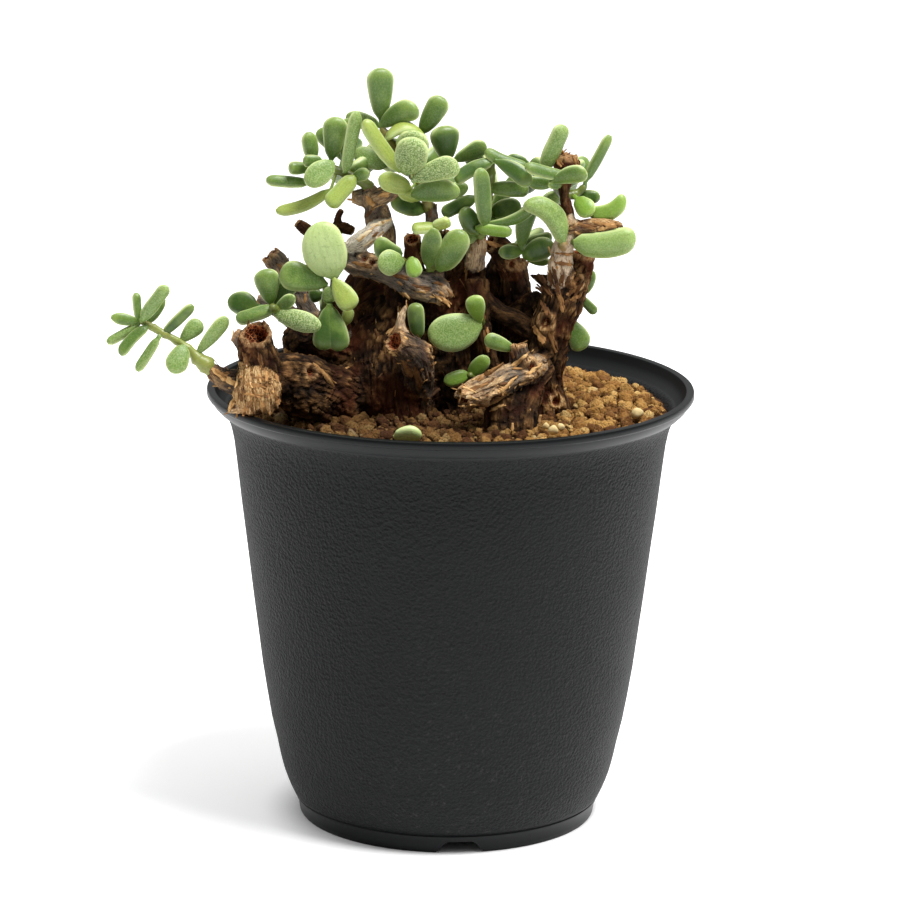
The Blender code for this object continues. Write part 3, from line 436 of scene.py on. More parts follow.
# %% Pot profile
# Radii and heights are in mm
RIM_RADIUS = 52.5
WALL = 1.2
FLOOR_Z = 4.0
FLOOR_RADIUS = 32.0
FOOT_WIDTH = 2.2
NOTCHES = 3
NOTCH_TURN = math.radians(-84.6)
NOTCH_OUTLINE = [(-6.2, -1.0), (6.2, -1.0), (5.2, 0.0), (3.6, 1.9), (2.6, 2.6), (-2.6, 2.6), (-3.6, 1.9),
                 (-5.2, 0.0)]
DRAINS = 6
DRAIN_RADIUS = 3.0
DRAIN_CIRCLE = 18.0
POT_SEGMENTS = 216

# Outer radius at each height in mm, read from the two edges of the pot in the picture.
OUTER_WALL = [
    (32.0, 0.0), (32.25, 0.35), (32.4, 1.2), (32.55, 2.3), (33.0, 3.3), (33.2, 3.8), (33.05, 4.05),
    (33.6, 4.6), (34.45, 6.4), (35.1, 8.0), (35.7, 9.7), (36.2, 11.5), (36.7, 13.6), (37.3, 16.6),
    (38.5, 21.8), (39.5, 27.5), (40.45, 33.5), (41.4, 41.0), (42.5, 49.5), (43.7, 59.5), (45.0, 69.8),
    (46.05, 79.0), (46.6, 83.4), (47.1, 85.9), (47.5, 87.4), (48.1, 88.9), (49.1, 90.1), (50.3, 91.1),
    (51.2, 92.0), (51.75, 92.9), (51.95, 93.3), (52.3, 93.45), (52.5, 93.75), (52.5, 94.5),
    (52.36, 94.85), (52.05, 95.0)]
INNER_LIP = [
    (51.1, 95.0), (50.8, 94.85), (50.62, 94.4), (50.3, 93.2), (49.6, 91.9), (48.3, 90.9), (47.0, 89.6),
    (46.3, 88.0)]


def pot_profile():
    """The closed outline of the moulding as (radius, height) in mm."""
    inner = [(radius - WALL, height) for radius, height in OUTER_WALL[8:24]]
    foot = FLOOR_RADIUS - FOOT_WIDTH
    floor = [(33.0, FLOOR_Z + WALL + 0.5), (FLOOR_RADIUS, FLOOR_Z + WALL), (DRAIN_RADIUS, FLOOR_Z + WALL),
             (DRAIN_RADIUS, FLOOR_Z), (foot, FLOOR_Z), (foot, 0.3), (30.1, 0.0)]
    return OUTER_WALL + INNER_LIP + inner[::-1] + floor


print(len(pot_profile()), "points in the pot's outline")

# %% [markdown]
# The plastic is a nearly black charcoal with a fine pebbled grain pressed into it by the mould.
# The lip and foot are painted a shade darker than the grained wall, a painted shade that stands for the light
# the grain catches. Two sizes of cells in a bump give the grain, and a mask by height leaves the lip and foot
# smooth.

# %% Black plastic


def black_plastic(nodes):
    height = nodes.axis(nodes.place(), "Z")
    grained = nodes.step(height, 0.0042, 0.0052) * nodes.step(height, 0.0912, 0.0902)
    pebbles = nodes.cells(1500.0, "SMOOTH_F1")
    fine = nodes.cloud(2600.0, 2.0)
    grain = (pebbles * 0.7 + fine * 0.6) * grained
    patches = nodes.cloud(60.0, 5.0, 0.6)
    streaks = nodes.cloud(9.0, 3.0)
    wear = nodes.step(patches * 0.6 + streaks * 0.4, 0.42, 0.66)
    dust = nodes.step(nodes.cloud(900.0, 2.0), 0.60, 0.72) * nodes.step(streaks, 0.4, 0.7) * grained
    base = nodes.blend(wear, (9, 11, 11), (15, 17, 17))
    base = nodes.blend(dust * 0.16, base, (84, 84, 78))
    # Painted shade: the smooth lip and foot are a little darker than the grained wall
    base = nodes.blend(1.0 - grained, base, (8, 10, 11))
    rough = 0.38 + grained * 0.20 + wear * 0.05
    return {"Base Color": base, "Roughness": rough, "Normal": nodes.bump(grain, 0.0006, 1.0)}


PLASTIC = finish("black plastic", black_plastic, specular_ior_level=0.18)

# %% Turn the pot


def pot_tree():
    """Sweep the object's own outline round a circle."""
    nodes, given = new_tree("turned pot", {"Radius": "Float", "Segments": "Int"})
    ring = nodes.add("GeometryNodeCurvePrimitiveCircle",
                     sockets={"Radius": given["Radius"], "Resolution": given["Segments"]})
    outline = nodes.add("GeometryNodeMeshToCurve", sockets={"Mesh": given["Geometry"]})
    shell = nodes.add("GeometryNodeCurveToMesh", sockets={"Curve": ring, "Profile Curve": outline})
    close_tree(nodes, shell, PLASTIC)
    return nodes


print(POT_SEGMENTS, "segments round the pot")

# %% [markdown]
# The notches and drain holes are cut by plain prisms. A Boolean leaves sharp edges where the cut
# meets the wall, so edges that turn strongly are marked sharp afterwards and the rest stays smooth.

# %% Cut the pot
CUT_ANGLE = math.radians(35)


def prism(first, second):
    """The body between two loops of points, as its points and faces."""
    count = len(first)
    faces = [tuple(range(count))[::-1], tuple(range(count, 2 * count))]
    faces += [(n, (n + 1) % count, count + (n + 1) % count, count + n) for n in range(count)]
    return first + second, faces


def pot_cutters():
    """The foot notches and the round drain holes, as one set of closed bodies."""
    corners = []
    faces = []
    for n in range(DRAINS):
        turn = math.tau * (n + 0.5) / DRAINS
        ends = [[(POT_X + (DRAIN_CIRCLE * math.cos(turn) + DRAIN_RADIUS * math.cos(a)) * MM,
                  (DRAIN_CIRCLE * math.sin(turn) + DRAIN_RADIUS * math.sin(a)) * MM, height * MM)
                 for a in np.linspace(0, math.tau, 32, endpoint=False)]
                for height in (FLOOR_Z - 1, FLOOR_Z + 2.4)]
        add_body(corners, faces, *prism(*ends))
    for n in range(NOTCHES):
        turn = NOTCH_TURN + math.tau * n / NOTCHES
        along = Vector((math.cos(turn), math.sin(turn), 0))
        side = Vector((-along.y, along.x, 0))
        ends = [[Vector((POT_X, 0, 0)) + (along * reach + side * x + Vector((0, 0, z))) * MM
                 for x, z in NOTCH_OUTLINE] for reach in (27.0, 36.0)]
        add_body(corners, faces, *prism(*ends))
    return corners, faces


def add_body(corners, faces, more_corners, more_faces):
    """Append one body's points and faces to a growing set."""
    start = len(corners)
    corners += [tuple(corner) for corner in more_corners]
    faces += [tuple(start + n for n in face) for face in more_faces]


def make_pot():
    """The swept moulding with its notches and drain holes."""
    middle = RIM_RADIUS / 2
    outline = [((radius - middle) * MM, height * MM, 0.0) for radius, height in pot_profile()]
    mesh = bpy.data.meshes.new("pot_moulding")
    count = len(outline)
    mesh.from_pydata(outline, [(n, (n + 1) % count) for n in range(count)], [])
    pot = bpy.data.objects.new("pot_moulding", mesh)
    bpy.context.scene.collection.objects.link(pot)
    grow(pot, pot_tree(), {"Radius": middle * MM, "Segments": POT_SEGMENTS})
    with edited(pot) as work:
        if min(corner.co.z for corner in work.verts) < -MM:
            bmesh.ops.scale(work, vec=(1, 1, -1), verts=work.verts)
        reach = max(math.hypot(corner.co.x, corner.co.y) for corner in work.verts)
        print("swept pot reaches", round(reach / MM, 2), "mm")
        bmesh.ops.translate(work, vec=(POT_X, 0, 0), verts=work.verts)
        bmesh.ops.remove_doubles(work, verts=work.verts, dist=1e-6)
    turn_outward(pot)
    tool = solid("pot_tools", *pot_cutters(), PLASTIC)
    turn_outward(tool)
    cut = pot.modifiers.new("cut", "BOOLEAN")
    cut.operation = "DIFFERENCE"
    cut.solver = "MANIFOLD"
    cut.object = tool
    baked(pot)
    bpy.data.objects.remove(tool, do_unlink=True)
    sharpen(pot, CUT_ANGLE)
    return pot


def sharpen(piece, angle):
    """Mark the edges that turn more than an angle, so that smooth shading stops there."""
    with edited(piece) as work:
        for edge in work.edges:
            edge.smooth = not (len(edge.link_faces) == 2 and edge.calc_face_angle(0) > angle)
        for face in work.faces:
            face.smooth = True


pot = make_pot()
settle(pot, "black_plastic", "pot")

# %% [markdown]
# ## The soil
#
# The filling is small fired-clay granules, golden to red-brown, with a few pale pebbles. Thousands
# of grains are one rule repeated, so a tree scatters a handful of broken pebble shapes over a bed
# that fills the pot. Three layers, large grains, smaller ones between them and crumbs, give the
# mixed sizes of real granules. Each grain carries its own random shade.

# %% Soil bed
SOIL_TOP = 89.4              # the bed's level in mm, a grain's lift under the soil that is seen
SOIL_MIDDLE = (POT_X, 0.0, 90.0 * MM)
SOIL_SLOPE = 0.018
SOIL_RINGS = 34
SOIL_SIDES = 132
BED_RADIUS = 47.0
GRAIN_LIMIT = 46.5           # no grain reaches past this radius
NECK = (POT_X + 2 * MM, 0.0, 90.0 * MM)
# The middle of a painted shadow on the grains, in front of the trunk and to its left
SHADOW_PLACE = (NECK[0] - 14 * MM, NECK[1] - 10 * MM, NECK[2])


def bed_height(x, y):
    """The level of the bed in mm: a slight heap round the caudex and a rise to the back."""
    from_axis = math.hypot(x - POT_X, y) / MM
    heap = 0.9 * math.exp(-((from_axis - 12) / 22) ** 2)
    return SOIL_TOP + heap + SOIL_SLOPE * y / MM + 0.6 * noise.noise(Vector((x, y, 0)) / (6 * MM))


def make_bed(material):
    """The filling under the grains: a bumpy top on a body that follows the pot's inside."""
    points = [(POT_X, 0.0, bed_height(POT_X, 0.0) * MM)]
    faces = []
    wall = [(46.0, 88.0), (44.0, 72.0), (41.2, 50.0), (38.0, 30.0), (34.6, 12.0), (32.3, 6.2), (31.0, 5.6)]
    rings = [(BED_RADIUS * ring / SOIL_RINGS, None) for ring in range(1, SOIL_RINGS + 1)] + wall
    for radius, level in rings:
        for step in range(SOIL_SIDES):
            turn = math.tau * step / SOIL_SIDES
            x = POT_X + radius * math.cos(turn) * MM
            y = radius * math.sin(turn) * MM
            points.append((x, y, (bed_height(x, y) if level is None else level) * MM))
    for step in range(SOIL_SIDES):
        after = (step + 1) % SOIL_SIDES
        faces.append((0, 1 + step, 1 + after))
        for ring in range(len(rings) - 1):
            here = 1 + ring * SOIL_SIDES
            below = here + SOIL_SIDES
            faces.append((here + step, below + step, below + after, here + after))
    last = 1 + (len(rings) - 1) * SOIL_SIDES
    faces.append(tuple(last + SOIL_SIDES - 1 - n for n in range(SOIL_SIDES)))
    # The bed shows only in the gaps between the grains, so it is painted dark: painted shade
    dark = {"shade": np.full(len(points), 0.1), "damp": np.full(len(points), 1.0)}
    return solid("soil_granules", points, faces, material, dark)


print("the bed is", round(bed_height(POT_X, 0.0), 1), "mm high in the middle")

# %% [markdown]
# Dry clay granules are rough all through: a noise bump breaks every face, painted shade darkens its pores,
# and the raised parts of the relief are paler and powdery. The grains' own shades run from red-brown to
# straw. A painted shadow darkens the grains in front of the trunk and to its left, and the bed, which shows
# only in the gaps between the grains, is painted dark as their shade.

# %% Granules


def granule_finish(nodes):
    shade = nodes.value("shade")
    near = nodes.value("damp")
    coarse = nodes.cloud(520.0, 5.0, 0.65)
    pores = nodes.cloud(1900.0, 4.0, 0.7)
    base = nodes.ramp(shade + (coarse - 0.5) * 0.5, (0.0, 84, 50, 22), (0.22, 128, 86, 42),
                      (0.5, 166, 121, 62), (0.8, 196, 152, 86), (0.97, 212, 176, 112), (1.0, 216, 190, 140))
    base = nodes.blend(nodes.step(coarse, 0.52, 0.72) * 0.35, base, (200, 160, 102))
    # Painted shade in the pores, the low parts of the relief
    base = nodes.blend(nodes.step(pores, 0.48, 0.36) * 0.8, base, (60, 30, 10))
    # Painted shade on the bed between the grains, and a painted shadow on the grains in front of the trunk
    base = nodes.blend(near * 0.7, base, (52, 27, 12))
    relief = coarse + pores * 0.8
    return {"Base Color": base, "Normal": nodes.bump(relief, 0.0011, 1.0)}


GRANULES = finish("clay granules", granule_finish, roughness=0.95, specular_ior_level=0.2)


# %% [markdown]
# A broken grain starts as a ball. Noise pushes it in and out, and a few flat breaks cut it. Seven
# such shapes, turned and sized at random on the points that a tree scatters, don't look repeated.

# %% Scatter the grains


def lumpy(name, radius, squash, seed, level=2):
    """One broken grain: a ball pushed in and out by noise and cut by a few flat breaks."""
    work = bmesh.new()
    bmesh.ops.create_icosphere(work, subdivisions=level, radius=1.0)
    draw = random.Random(seed)
    shift = Vector((seed * 7.3, seed * 1.9, 0))
    breaks = [Vector([draw.gauss(0, 1) for _ in range(3)]).normalized() for _ in range(BREAKS)]
    for corner in work.verts:
        out = corner.co.normalized()
        reach = 1.05 + 0.36 * noise.noise(out * 1.4 + shift) + 0.26 * noise.noise(out * 3.3 + shift)
        reach += 0.19 * noise.noise(out * 7.0 + shift) if level > 2 else 0.0
        for flat in breaks:
            reach = min(reach, 0.82 / max(out.dot(flat), 0.01))
        corner.co = Vector((out.x, out.y * squash, out.z * (0.6 + 0.4 * squash))) * reach * radius
    mesh = bpy.data.meshes.new(name)
    work.to_mesh(mesh)
    work.free()
    return bpy.data.objects.new(name, mesh)


# Each layer of grains: its spacing in mm, its least and greatest size, its lift in mm, and the
# level of detail of its shapes
LAYERS = {"soil_granules": ((2.9, 1.05, 2.0, 0.5, 3),),
          "soil_crumbs": ((2.0, 0.62, 1.15, 0.5, 2), (1.45, 0.34, 0.7, 0.45, 1))}
BED_FLOOR = 70 * MM          # faces of the bed over this height, turned upward, carry grains
SOIL_SEED = 4
BREAKS = 7


def soil_tree(name, layers, keep_bed):
    """Scatter layers of grains over the upward faces of the bed."""
    inputs = {f"Spacing {n}": "Float" for n in range(len(layers))}
    nodes, given = new_tree(name, {**inputs, "Seed": "Int"})
    place = nodes.add("GeometryNodeInputPosition")
    facing = nodes.axis(nodes.add("GeometryNodeInputNormal"), "Z")
    on_top = nodes.above(facing * nodes.axis(place, "Z"), BED_FLOOR)
    from_axis = nodes.distance(place, SOIL_MIDDLE)
    crowding = nodes.step(nodes.distance(place, NECK), 0.016, 0.030, 0.72, 1.0)
    # Grains near a spot in front of the trunk and to its left get a painted shadow
    damp = nodes.step(nodes.distance(place, SHADOW_PLACE), 0.046, 0.016)
    parts = [given["Geometry"]] if keep_bed else []
    for order, (_, low, high, rise, level) in enumerate(layers):
        dots = nodes.add("GeometryNodeDistributePointsOnFaces", {"distribute_method": "POISSON"},
                         {"Mesh": given["Geometry"], "Selection": on_top,
                          "Distance Min": given[f"Spacing {order}"], "Density Max": 900000.0,
                          "Seed": given["Seed"] + order + level})
        # A grain beyond the limit would go through the pot's wall
        outside = nodes.above(from_axis, (GRAIN_LIMIT - 0.9 * high) * MM)
        dots = nodes.add("GeometryNodeDeleteGeometry", {"domain": "POINT"},
                         {"Geometry": dots, "Selection": outside})
        raised = nodes.add("GeometryNodeSetPosition", sockets={"Geometry": dots, "Offset": (0, 0, rise * MM)})
        turn = nodes.drawn((0.0, 0.0, 0.0), (math.tau, math.tau, math.tau), 3 + level)
        size = nodes.drawn(low, high, 11 + level)
        grains = nodes.copies(raised, grain_kinds(level), turn, size * crowding)
        shaded = nodes.mark(grains, "shade", nodes.drawn(0.0, 0.96, 21 + level))
        parts.append(nodes.mark(shaded, "damp", damp))
    joined = nodes.add("GeometryNodeJoinGeometry", sockets={"Geometry": parts})
    close_tree(nodes, joined, GRANULES)
    return nodes


GRAIN_SHAPES = ((1.0, 0.85), (1.0, 0.7), (0.95, 0.95), (1.1, 0.65), (1.0, 0.8), (0.9, 0.9), (1.05, 0.75))


def grain_kinds(level):
    """The broken grains of one level of detail, each with its own radius in mm and squash."""
    return kinds_of(f"grain kinds {level}", [
        lumpy(f"grain_{level}_{n}", radius * MM, squash, n + 1, level)
        for n, (radius, squash) in enumerate(GRAIN_SHAPES)])


def make_soil():
    """The bed with its large grains, and the smaller grains as a second piece."""
    made = []
    for name, layers in LAYERS.items():
        piece = make_bed(GRANULES)
        piece.name = name
        sizes = {f"Spacing {n}": layer[0] * MM for n, layer in enumerate(layers)}
        grow(piece, soil_tree(name, layers, not made), {**sizes, "Seed": SOIL_SEED})
        made.append(piece)
    for kinds in [found for found in bpy.data.collections if found.name.startswith("grain kinds")]:
        drop_kinds(kinds)
    return made


for soil in make_soil():
    settle(soil, "clay_soil", "soil")

# %% [markdown]
# ## The caudex
#
# The trunk is a swollen, much-pruned stump with dozens of limbs, knobs and cut ends. Drawing that
# as one surface by hand is hopeless, so each limb is listed as a line of stations: a point of the
# picture, a depth and a radius. Tubes follow the lines, and a voxel remesh melts them into one skin
# with natural webs where limbs meet.

# %% Limbs
# A limb: how worn, reddish and pale its bark is, its stations, and its two ends. Each station is a
# column and row of the picture, a depth in front of the pot's axis and a radius in mm.
Limb = namedtuple("Limb", "bark path start end", defaults=("round", "round"))
LIMBS = {
    "caudex": Limb((0.3, 0.36, 0.0), [(395, 520, 0, 6), (394, 465, 0, 10.5), (390, 408, 0, 12.4),
        (388, 370, -1, 11.6), (390, 338, -3, 9.3), (396, 312, -4, 6.5)]),
    "left_column": Limb((0.1, 0.2, 0.0), [(364, 380, -3, 6), (356, 335, -5, 4.5), (357, 298, -6, 3.8),
        (368, 268, -5, 3.0)]),
    "centre_column": Limb((0.2, 0.3, 0.0), [(398, 350, -1, 6.2), (400, 316, -2, 5.0), (404, 288, -1, 4.2)]),
    "cross_limb": Limb((0.6, 0.28, 0.14), [(345, 258, 1, 1.9), (358, 263, 2, 2.7), (385, 270, 3, 2.8),
        (415, 284, 4, 3.2), (437, 290, 5, 3.2), (446, 300, 6, 1.9)], "cut", "hollow"),
    "middle_trunk": Limb((0.3, 0.35, 0.0), [(458, 470, -2, 6.5), (453, 405, -2, 8.3), (452, 360, -4, 8.3),
        (455, 320, -5, 7.6), (461, 290, -5, 6.4), (468, 268, -4, 4.0), (473, 254, -2, 2.8)]),
    "front_strip": Limb((0.35, 0.3, 0.0), [(477, 283, 1, 2.6), (480, 318, 3, 2.2), (486, 350, 3, 2.1),
        (492, 390, 2, 2.8)]),
    "curved_branch": Limb((0.3, 0.3, 0.0), [(482, 298, 1, 2.4), (500, 314, 2, 2.1), (515, 319, 2, 2.2),
        (534, 334, 2, 2.8)]),
    "rear_column": Limb((0.3, 0.15, 0.0), [(512, 420, -4, 5.6), (514, 365, -6, 5.8), (515, 322, -8, 4.9),
        (512, 288, -8, 4.1), (512, 262, -8, 3.6)], end="cut"),
    "rear_stub": Limb((0.25, 0.6, 0.0), [(512, 272, -7, 3.2), (500, 249, -5, 2.8),
        (489, 243, -4, 2.0)], end="hollow"),
    "right_column": Limb((0.44, 0.22, 0.0), [(520, 500, 2, 4.5), (544, 448, 3, 6.2), (544, 412, 3, 5.4),
        (543, 385, 3, 4.3), (546, 355, 3, 4.2), (553, 325, 3, 4.7), (562, 298, 3, 4.8),
        (570, 278, 3, 4.2)]),
    "dark_top": Limb((0.1, 0.4, 0.0), [(570, 292, 2, 3.8), (579, 268, 1, 3.0),
        (583, 253, 1, 2.6)], end="hollow"),
    "tan_top": Limb((0.98, 0.0, 0.4), [(563, 285, 4, 3.4), (561, 262, 5, 2.6), (564, 246, 5, 2.2),
        (571, 233, 5, 1.9), (573, 222, 5, 1.7)], end="cut"),
    "red_stub": Limb((0.7, 0.8, 0.05), [(571, 229, 5, 2.0), (590, 227, 6, 1.9), (606, 226, 7, 1.6),
        (617, 225, 7, 0.9)], end="point"),
    "dark_stem": Limb((0.28, 0.35, 0.0), [(571, 228, 4, 1.5), (567, 210, 3, 1.4), (564, 190, 2, 1.3),
        (566, 175, 2, 2.2), (567, 164, 2, 3.0), (567, 156, 2, 2.5)], end="cut"),
    "shards": Limb((0.3, 0.4, 0.0), [(557, 288, 2, 2.4), (543, 280, 1, 1.5),
        (533, 276, 1, 0.6)], end="point"),
    "knob": Limb((0.35, 0.3, 0.0), [(570, 287, 4, 2.6), (583, 279, 4, 2.0)], end="cut"),
    "front_root": Limb((0.34, 0.3, 0.0), [(508, 485, 12, 3.6), (510, 432, 17, 6.0), (515, 405, 15, 5.2),
        (526, 382, 11, 4.4), (538, 365, 7, 3.6)]),
    "broken_stub": Limb((0.66, 0.22, 0.12), [(538, 364, 12, 2.6), (526, 372, 15, 2.8), (505, 379, 18, 3.0),
        (484, 390, 21, 3.2), (463, 400, 23, 2.9)], end="hollow"),
    "broken_knob": Limb((0.55, 0.3, 0.05), [(530, 374, 15, 2.4), (521, 357, 16, 2.5),
        (519, 344, 16, 1.8)], end="cut"),
    "hollow_stub": Limb((0.5, 0.35, 0.05), [(418, 396, 7, 3.2), (419, 375, 10, 3.6), (414, 357, 13, 3.7),
        (404, 347, 15, 3.1), (394, 341, 17, 2.5)], end="hollow"),
    "spike": Limb((0.85, 0.1, 0.2), [(405, 345, 14, 2.2), (400, 329, 15, 1.3), (401, 317, 15, 0.9),
        (406, 307, 15, 0.5)], end="point"),
    "low_knob": Limb((0.3, 0.6, 0.0), [(428, 386, 6, 3.4), (412, 391, 9, 3.0)]),
    "left_limb": Limb((0.16, 0.25, 0.0), [(350, 404, 3, 8.0), (318, 393, 12, 7.2), (292, 381, 18, 6.4),
        (268, 376, 22, 4.8)]),
    "left_stump": Limb((0.32, 0.22, 0.0), [(266, 384, 22, 4.4), (260, 360, 24, 4.2), (257, 344, 25, 3.8),
        (256, 333, 27, 3.4)], end="hollow"),
    "stump_bump": Limb((0.45, 0.3, 0.1), [(250, 346, 24, 2.4), (241, 339, 24, 2.0),
        (234, 334, 24, 1.7)], end="cut"),
    "tan_chunk": Limb((0.92, 0.1, 0.04), [(256, 375, 25, 4.3), (257, 391, 27, 4.9),
        (258, 408, 27, 4.6)], "cut", "cut"),
    "frayed_tip": Limb((0.95, 0.15, 0.25), [(250, 406, 28, 2.6), (233, 411, 28, 1.0)], end="point"),
    "side_arm": Limb((0.6, 0.4, 0.05), [(246, 384, 23, 3.0), (226, 379, 22, 2.4), (212, 371, 21, 1.7)]),
    "left_upper": Limb((0.5, 0.05, 0.25), [(352, 350, -1, 4.6), (325, 337, 4, 3.4), (300, 323, 7, 2.5),
        (278, 308, 7, 1.9), (258, 300, 6, 1.6)], end="cut"),
    "cluster_twig": Limb((0.1, 0.3, 0.0), [(340, 335, 1, 2.6), (336, 308, 4, 1.5), (334, 288, 6, 1.2)]),
    "left_end": Limb((0.56, 0.2, 0.12), [(322, 334, 2, 2.4), (303, 300, -1, 1.8), (288, 276, -3, 2.0),
        (277, 262, -4, 2.4), (270, 254, -4, 2.1)], end="hollow"),
    "tuft_twig": Limb((0.15, 0.35, 0.0), [(352, 262, -1, 2.2), (338, 246, -6, 1.5), (322, 240, -8, 1.3),
        (308, 231, -8, 1.5), (296, 222, -8, 1.2)], end="cut"),
    "dark_twig": Limb((0.1, 0.2, 0.0), [(330, 243, -7, 1.2), (337, 227, -8, 1.2), (338, 217, -8, 0.9),
        (342, 209, -8, 0.7)], end="cut"),
    "side_twig": Limb((0.3, 0.3, 0.0), [(336, 227, -8, 1.2), (346, 228, -8, 1.3),
        (354, 232, -8, 1.0)], end="cut"),
    "fork": Limb((0.6, 0.12, 0.1), [(388, 272, 1, 2.4), (389, 243, -1, 1.7), (388, 226, -1, 1.6),
        (377, 208, 0, 2.2), (370, 197, 0, 2.6), (371, 189, 0, 1.7)]),
    "fork_left": Limb((0.66, 0.1, 0.15), [(371, 197, 0, 2.2), (360, 197, 0, 1.9),
        (352, 197, 0, 1.3)], end="cut"),
    "fork_right": Limb((0.6, 0.1, 0.1), [(371, 198, 0, 2.2), (385, 195, 2, 1.9), (397, 190, 2, 1.3)]),
    "fork_spike": Limb((0.5, 0.1, 0.1), [(374, 206, 1, 1.9), (369, 218, 1, 1.1),
        (367, 226, 1, 0.5)], end="point"),
    "peeled_piece": Limb((0.9, 0.05, 0.85), [(349, 246, 2, 1.8), (362, 240, 3, 2.1), (374, 231, 3, 1.9),
        (388, 222, 0, 1.3)], "cut"),
    "ring_stub": Limb((0.3, 0.55, 0.0), [(415, 272, 3, 2.4), (413, 252, 3, 2.0),
        (412, 238, 5, 1.9)], end="hollow"),
    "crown_twig": Limb((0.55, 0.15, 0.1), [(434, 278, 1, 2.2), (434, 250, -1, 1.5), (432, 222, -1, 1.5),
        (430, 205, -1, 1.4)]),
    "leaning_twig": Limb((0.2, 0.4, 0.0), [(444, 275, -1, 1.8), (447, 248, -2, 1.3),
        (446, 231, -2, 1.2)], end="cut"),
    "tan_stump": Limb((0.75, 0.1, 0.2), [(474, 264, -1, 2.4), (478, 246, 1, 1.9),
        (478, 236, 1, 1.7)], end="cut"),
    "back_stub": Limb((0.3, 0.3, 0.0), [(400, 335, -8, 6.5), (402, 305, -17, 4.0),
        (400, 284, -22, 3.0)], end="hollow"),
    "back_limb": Limb((0.4, 0.2, 0.0), [(462, 385, -8, 6.5), (478, 352, -19, 3.6), (490, 322, -25, 2.6),
        (492, 300, -27, 2.0)], end="cut"),
    "back_left": Limb((0.3, 0.3, 0.0), [(352, 385, -6, 7.0), (322, 360, -18, 4.0), (305, 335, -23, 2.6),
        (300, 318, -24, 2.0)], end="hollow"),
    # The shaded wood that fills the corners between neighbouring limbs
    "left_web": Limb((0.1, 0.25, 0.0), [(338, 352, 2, 5.0), (309, 342, 7, 4.6), (294, 339, 11, 3.3)]),
    "middle_web": Limb((0.2, 0.3, 0.0), [(366, 302, -5, 4.0), (383, 293, -4, 3.4), (398, 298, -3, 3.6)]),
    "rear_web": Limb((0.3, 0.15, 0.0), [(494, 310, -9, 4.0), (498, 276, -9, 3.4), (502, 262, -8, 2.6)]),
    "fork_web": Limb((0.1, 0.3, 0.0), [(524, 324, -3, 4.5), (532, 309, -2, 3.8), (536, 300, 0, 2.4)]),
}
print(len(LIMBS), "limbs")

# %% [markdown]
# A limb's few stations are joined by a smooth curve through all of them, sampled every
# millimetre or so. Cut ends get a ragged rim, and rotted ones a hollow, because the remesh keeps
# every opening that is wider than two of its voxels.

# %% Tubes along the limbs
VOXEL = 0.42 * MM


def smooth_line(stations):
    """Points and radii close together on a curve through every station."""
    points = [np.array(seen(column, row, depth)) for column, row, depth, radius in stations]
    radii = [radius * MM for column, row, depth, radius in stations]
    points = [2 * points[0] - points[1]] + points + [2 * points[-1] - points[-2]]
    radii = [radii[0]] + radii + [radii[-1]]
    line = []
    for n in range(1, len(points) - 2):
        steps = max(2, int(np.linalg.norm(points[n + 1] - points[n]) / (0.9 * MM)))
        for share in np.arange(steps) / steps:
            line.append(tuple(catmull(points[n - 1:n + 3], share)) + (catmull(radii[n - 1:n + 3], share),))
    line.append(tuple(points[-2]) + (radii[-2],))
    return np.array(line)


def catmull(four, share):
    """A point of the smooth curve between the second and third of four."""
    first, second, third, fourth = four
    return 0.5 * (2 * second + (third - first) * share
                  + (2 * first - 5 * second + 4 * third - fourth) * share ** 2
                  + (3 * second - first - 3 * third + fourth) * share ** 3)


def frames_along(points):
    """Tangent, side and cross directions along a line, carried without a twist."""
    tangents = np.gradient(points, axis=0)
    tangents /= np.linalg.norm(tangents, axis=1)[:, None]
    side = np.array(Vector(tangents[0]).orthogonal().normalized())
    frames = []
    for tangent in tangents:
        side = side - tangent * side.dot(tangent)
        side /= np.linalg.norm(side)
        frames.append((tangent, side, np.cross(tangent, side)))
    return frames


def limb_body(limb, seed):
    """Points and faces of one closed limb."""
    line = smooth_line(limb.path)
    points, radii = line[:, :3], line[:, 3]
    frames = frames_along(points)
    sides = int(min(44, max(12, math.tau * radii.max() / (0.55 * MM))))
    turns = np.linspace(0, math.tau, sides, endpoint=False)
    rings = []

    def ring(n, shift, share, ragged=0.0):
        tangent, side, cross = frames[n]
        loop = []
        for turn in turns:
            out = side * math.cos(turn) + cross * math.sin(turn)
            spot = Vector(points[n] + out * radii[n]) / MM
            lump = 1 + 0.13 * noise.noise(spot / 4.0) + 0.05 * math.cos(3 * turn + seed)
            jag = ragged * noise.noise(Vector((2.2 * math.cos(turn), 2.2 * math.sin(turn), seed)))
            loop.append(points[n] + out * radii[n] * share * lump + tangent * (radii[n] * (shift + jag)))
        rings.append(loop)

    if limb.start == "round":
        ring(0, -0.5, 0.45)
        ring(0, -0.28, 0.82)
    for n in range(len(points) - 1):
        ring(n, 0.0, 1.0)
    last = len(points) - 1
    if limb.end == "round":
        ring(last, 0.0, 1.0)
        ring(last, 0.35, 0.80)
        ring(last, 0.55, 0.45)
    elif limb.end == "hollow":
        ring(last, 0.05, 1.0, 0.35)
        ring(last, 0.12, 0.82, 0.40)
        ring(last, -0.25, 0.64, 0.2)
        ring(last, -1.2, 0.50)
    else:
        ring(last, 0.0, 1.0, 0.5 if limb.end == "cut" else 0.0)
    cap = {"round": 0.62, "hollow": -1.4, "cut": 0.08, "point": 2.0}[limb.end]
    tips = [points[0] - frames[0][0] * radii[0] * 0.6, points[last] + frames[last][0] * radii[last] * cap]
    return [corner for loop in rings for corner in loop] + tips, ringed(len(rings), sides)


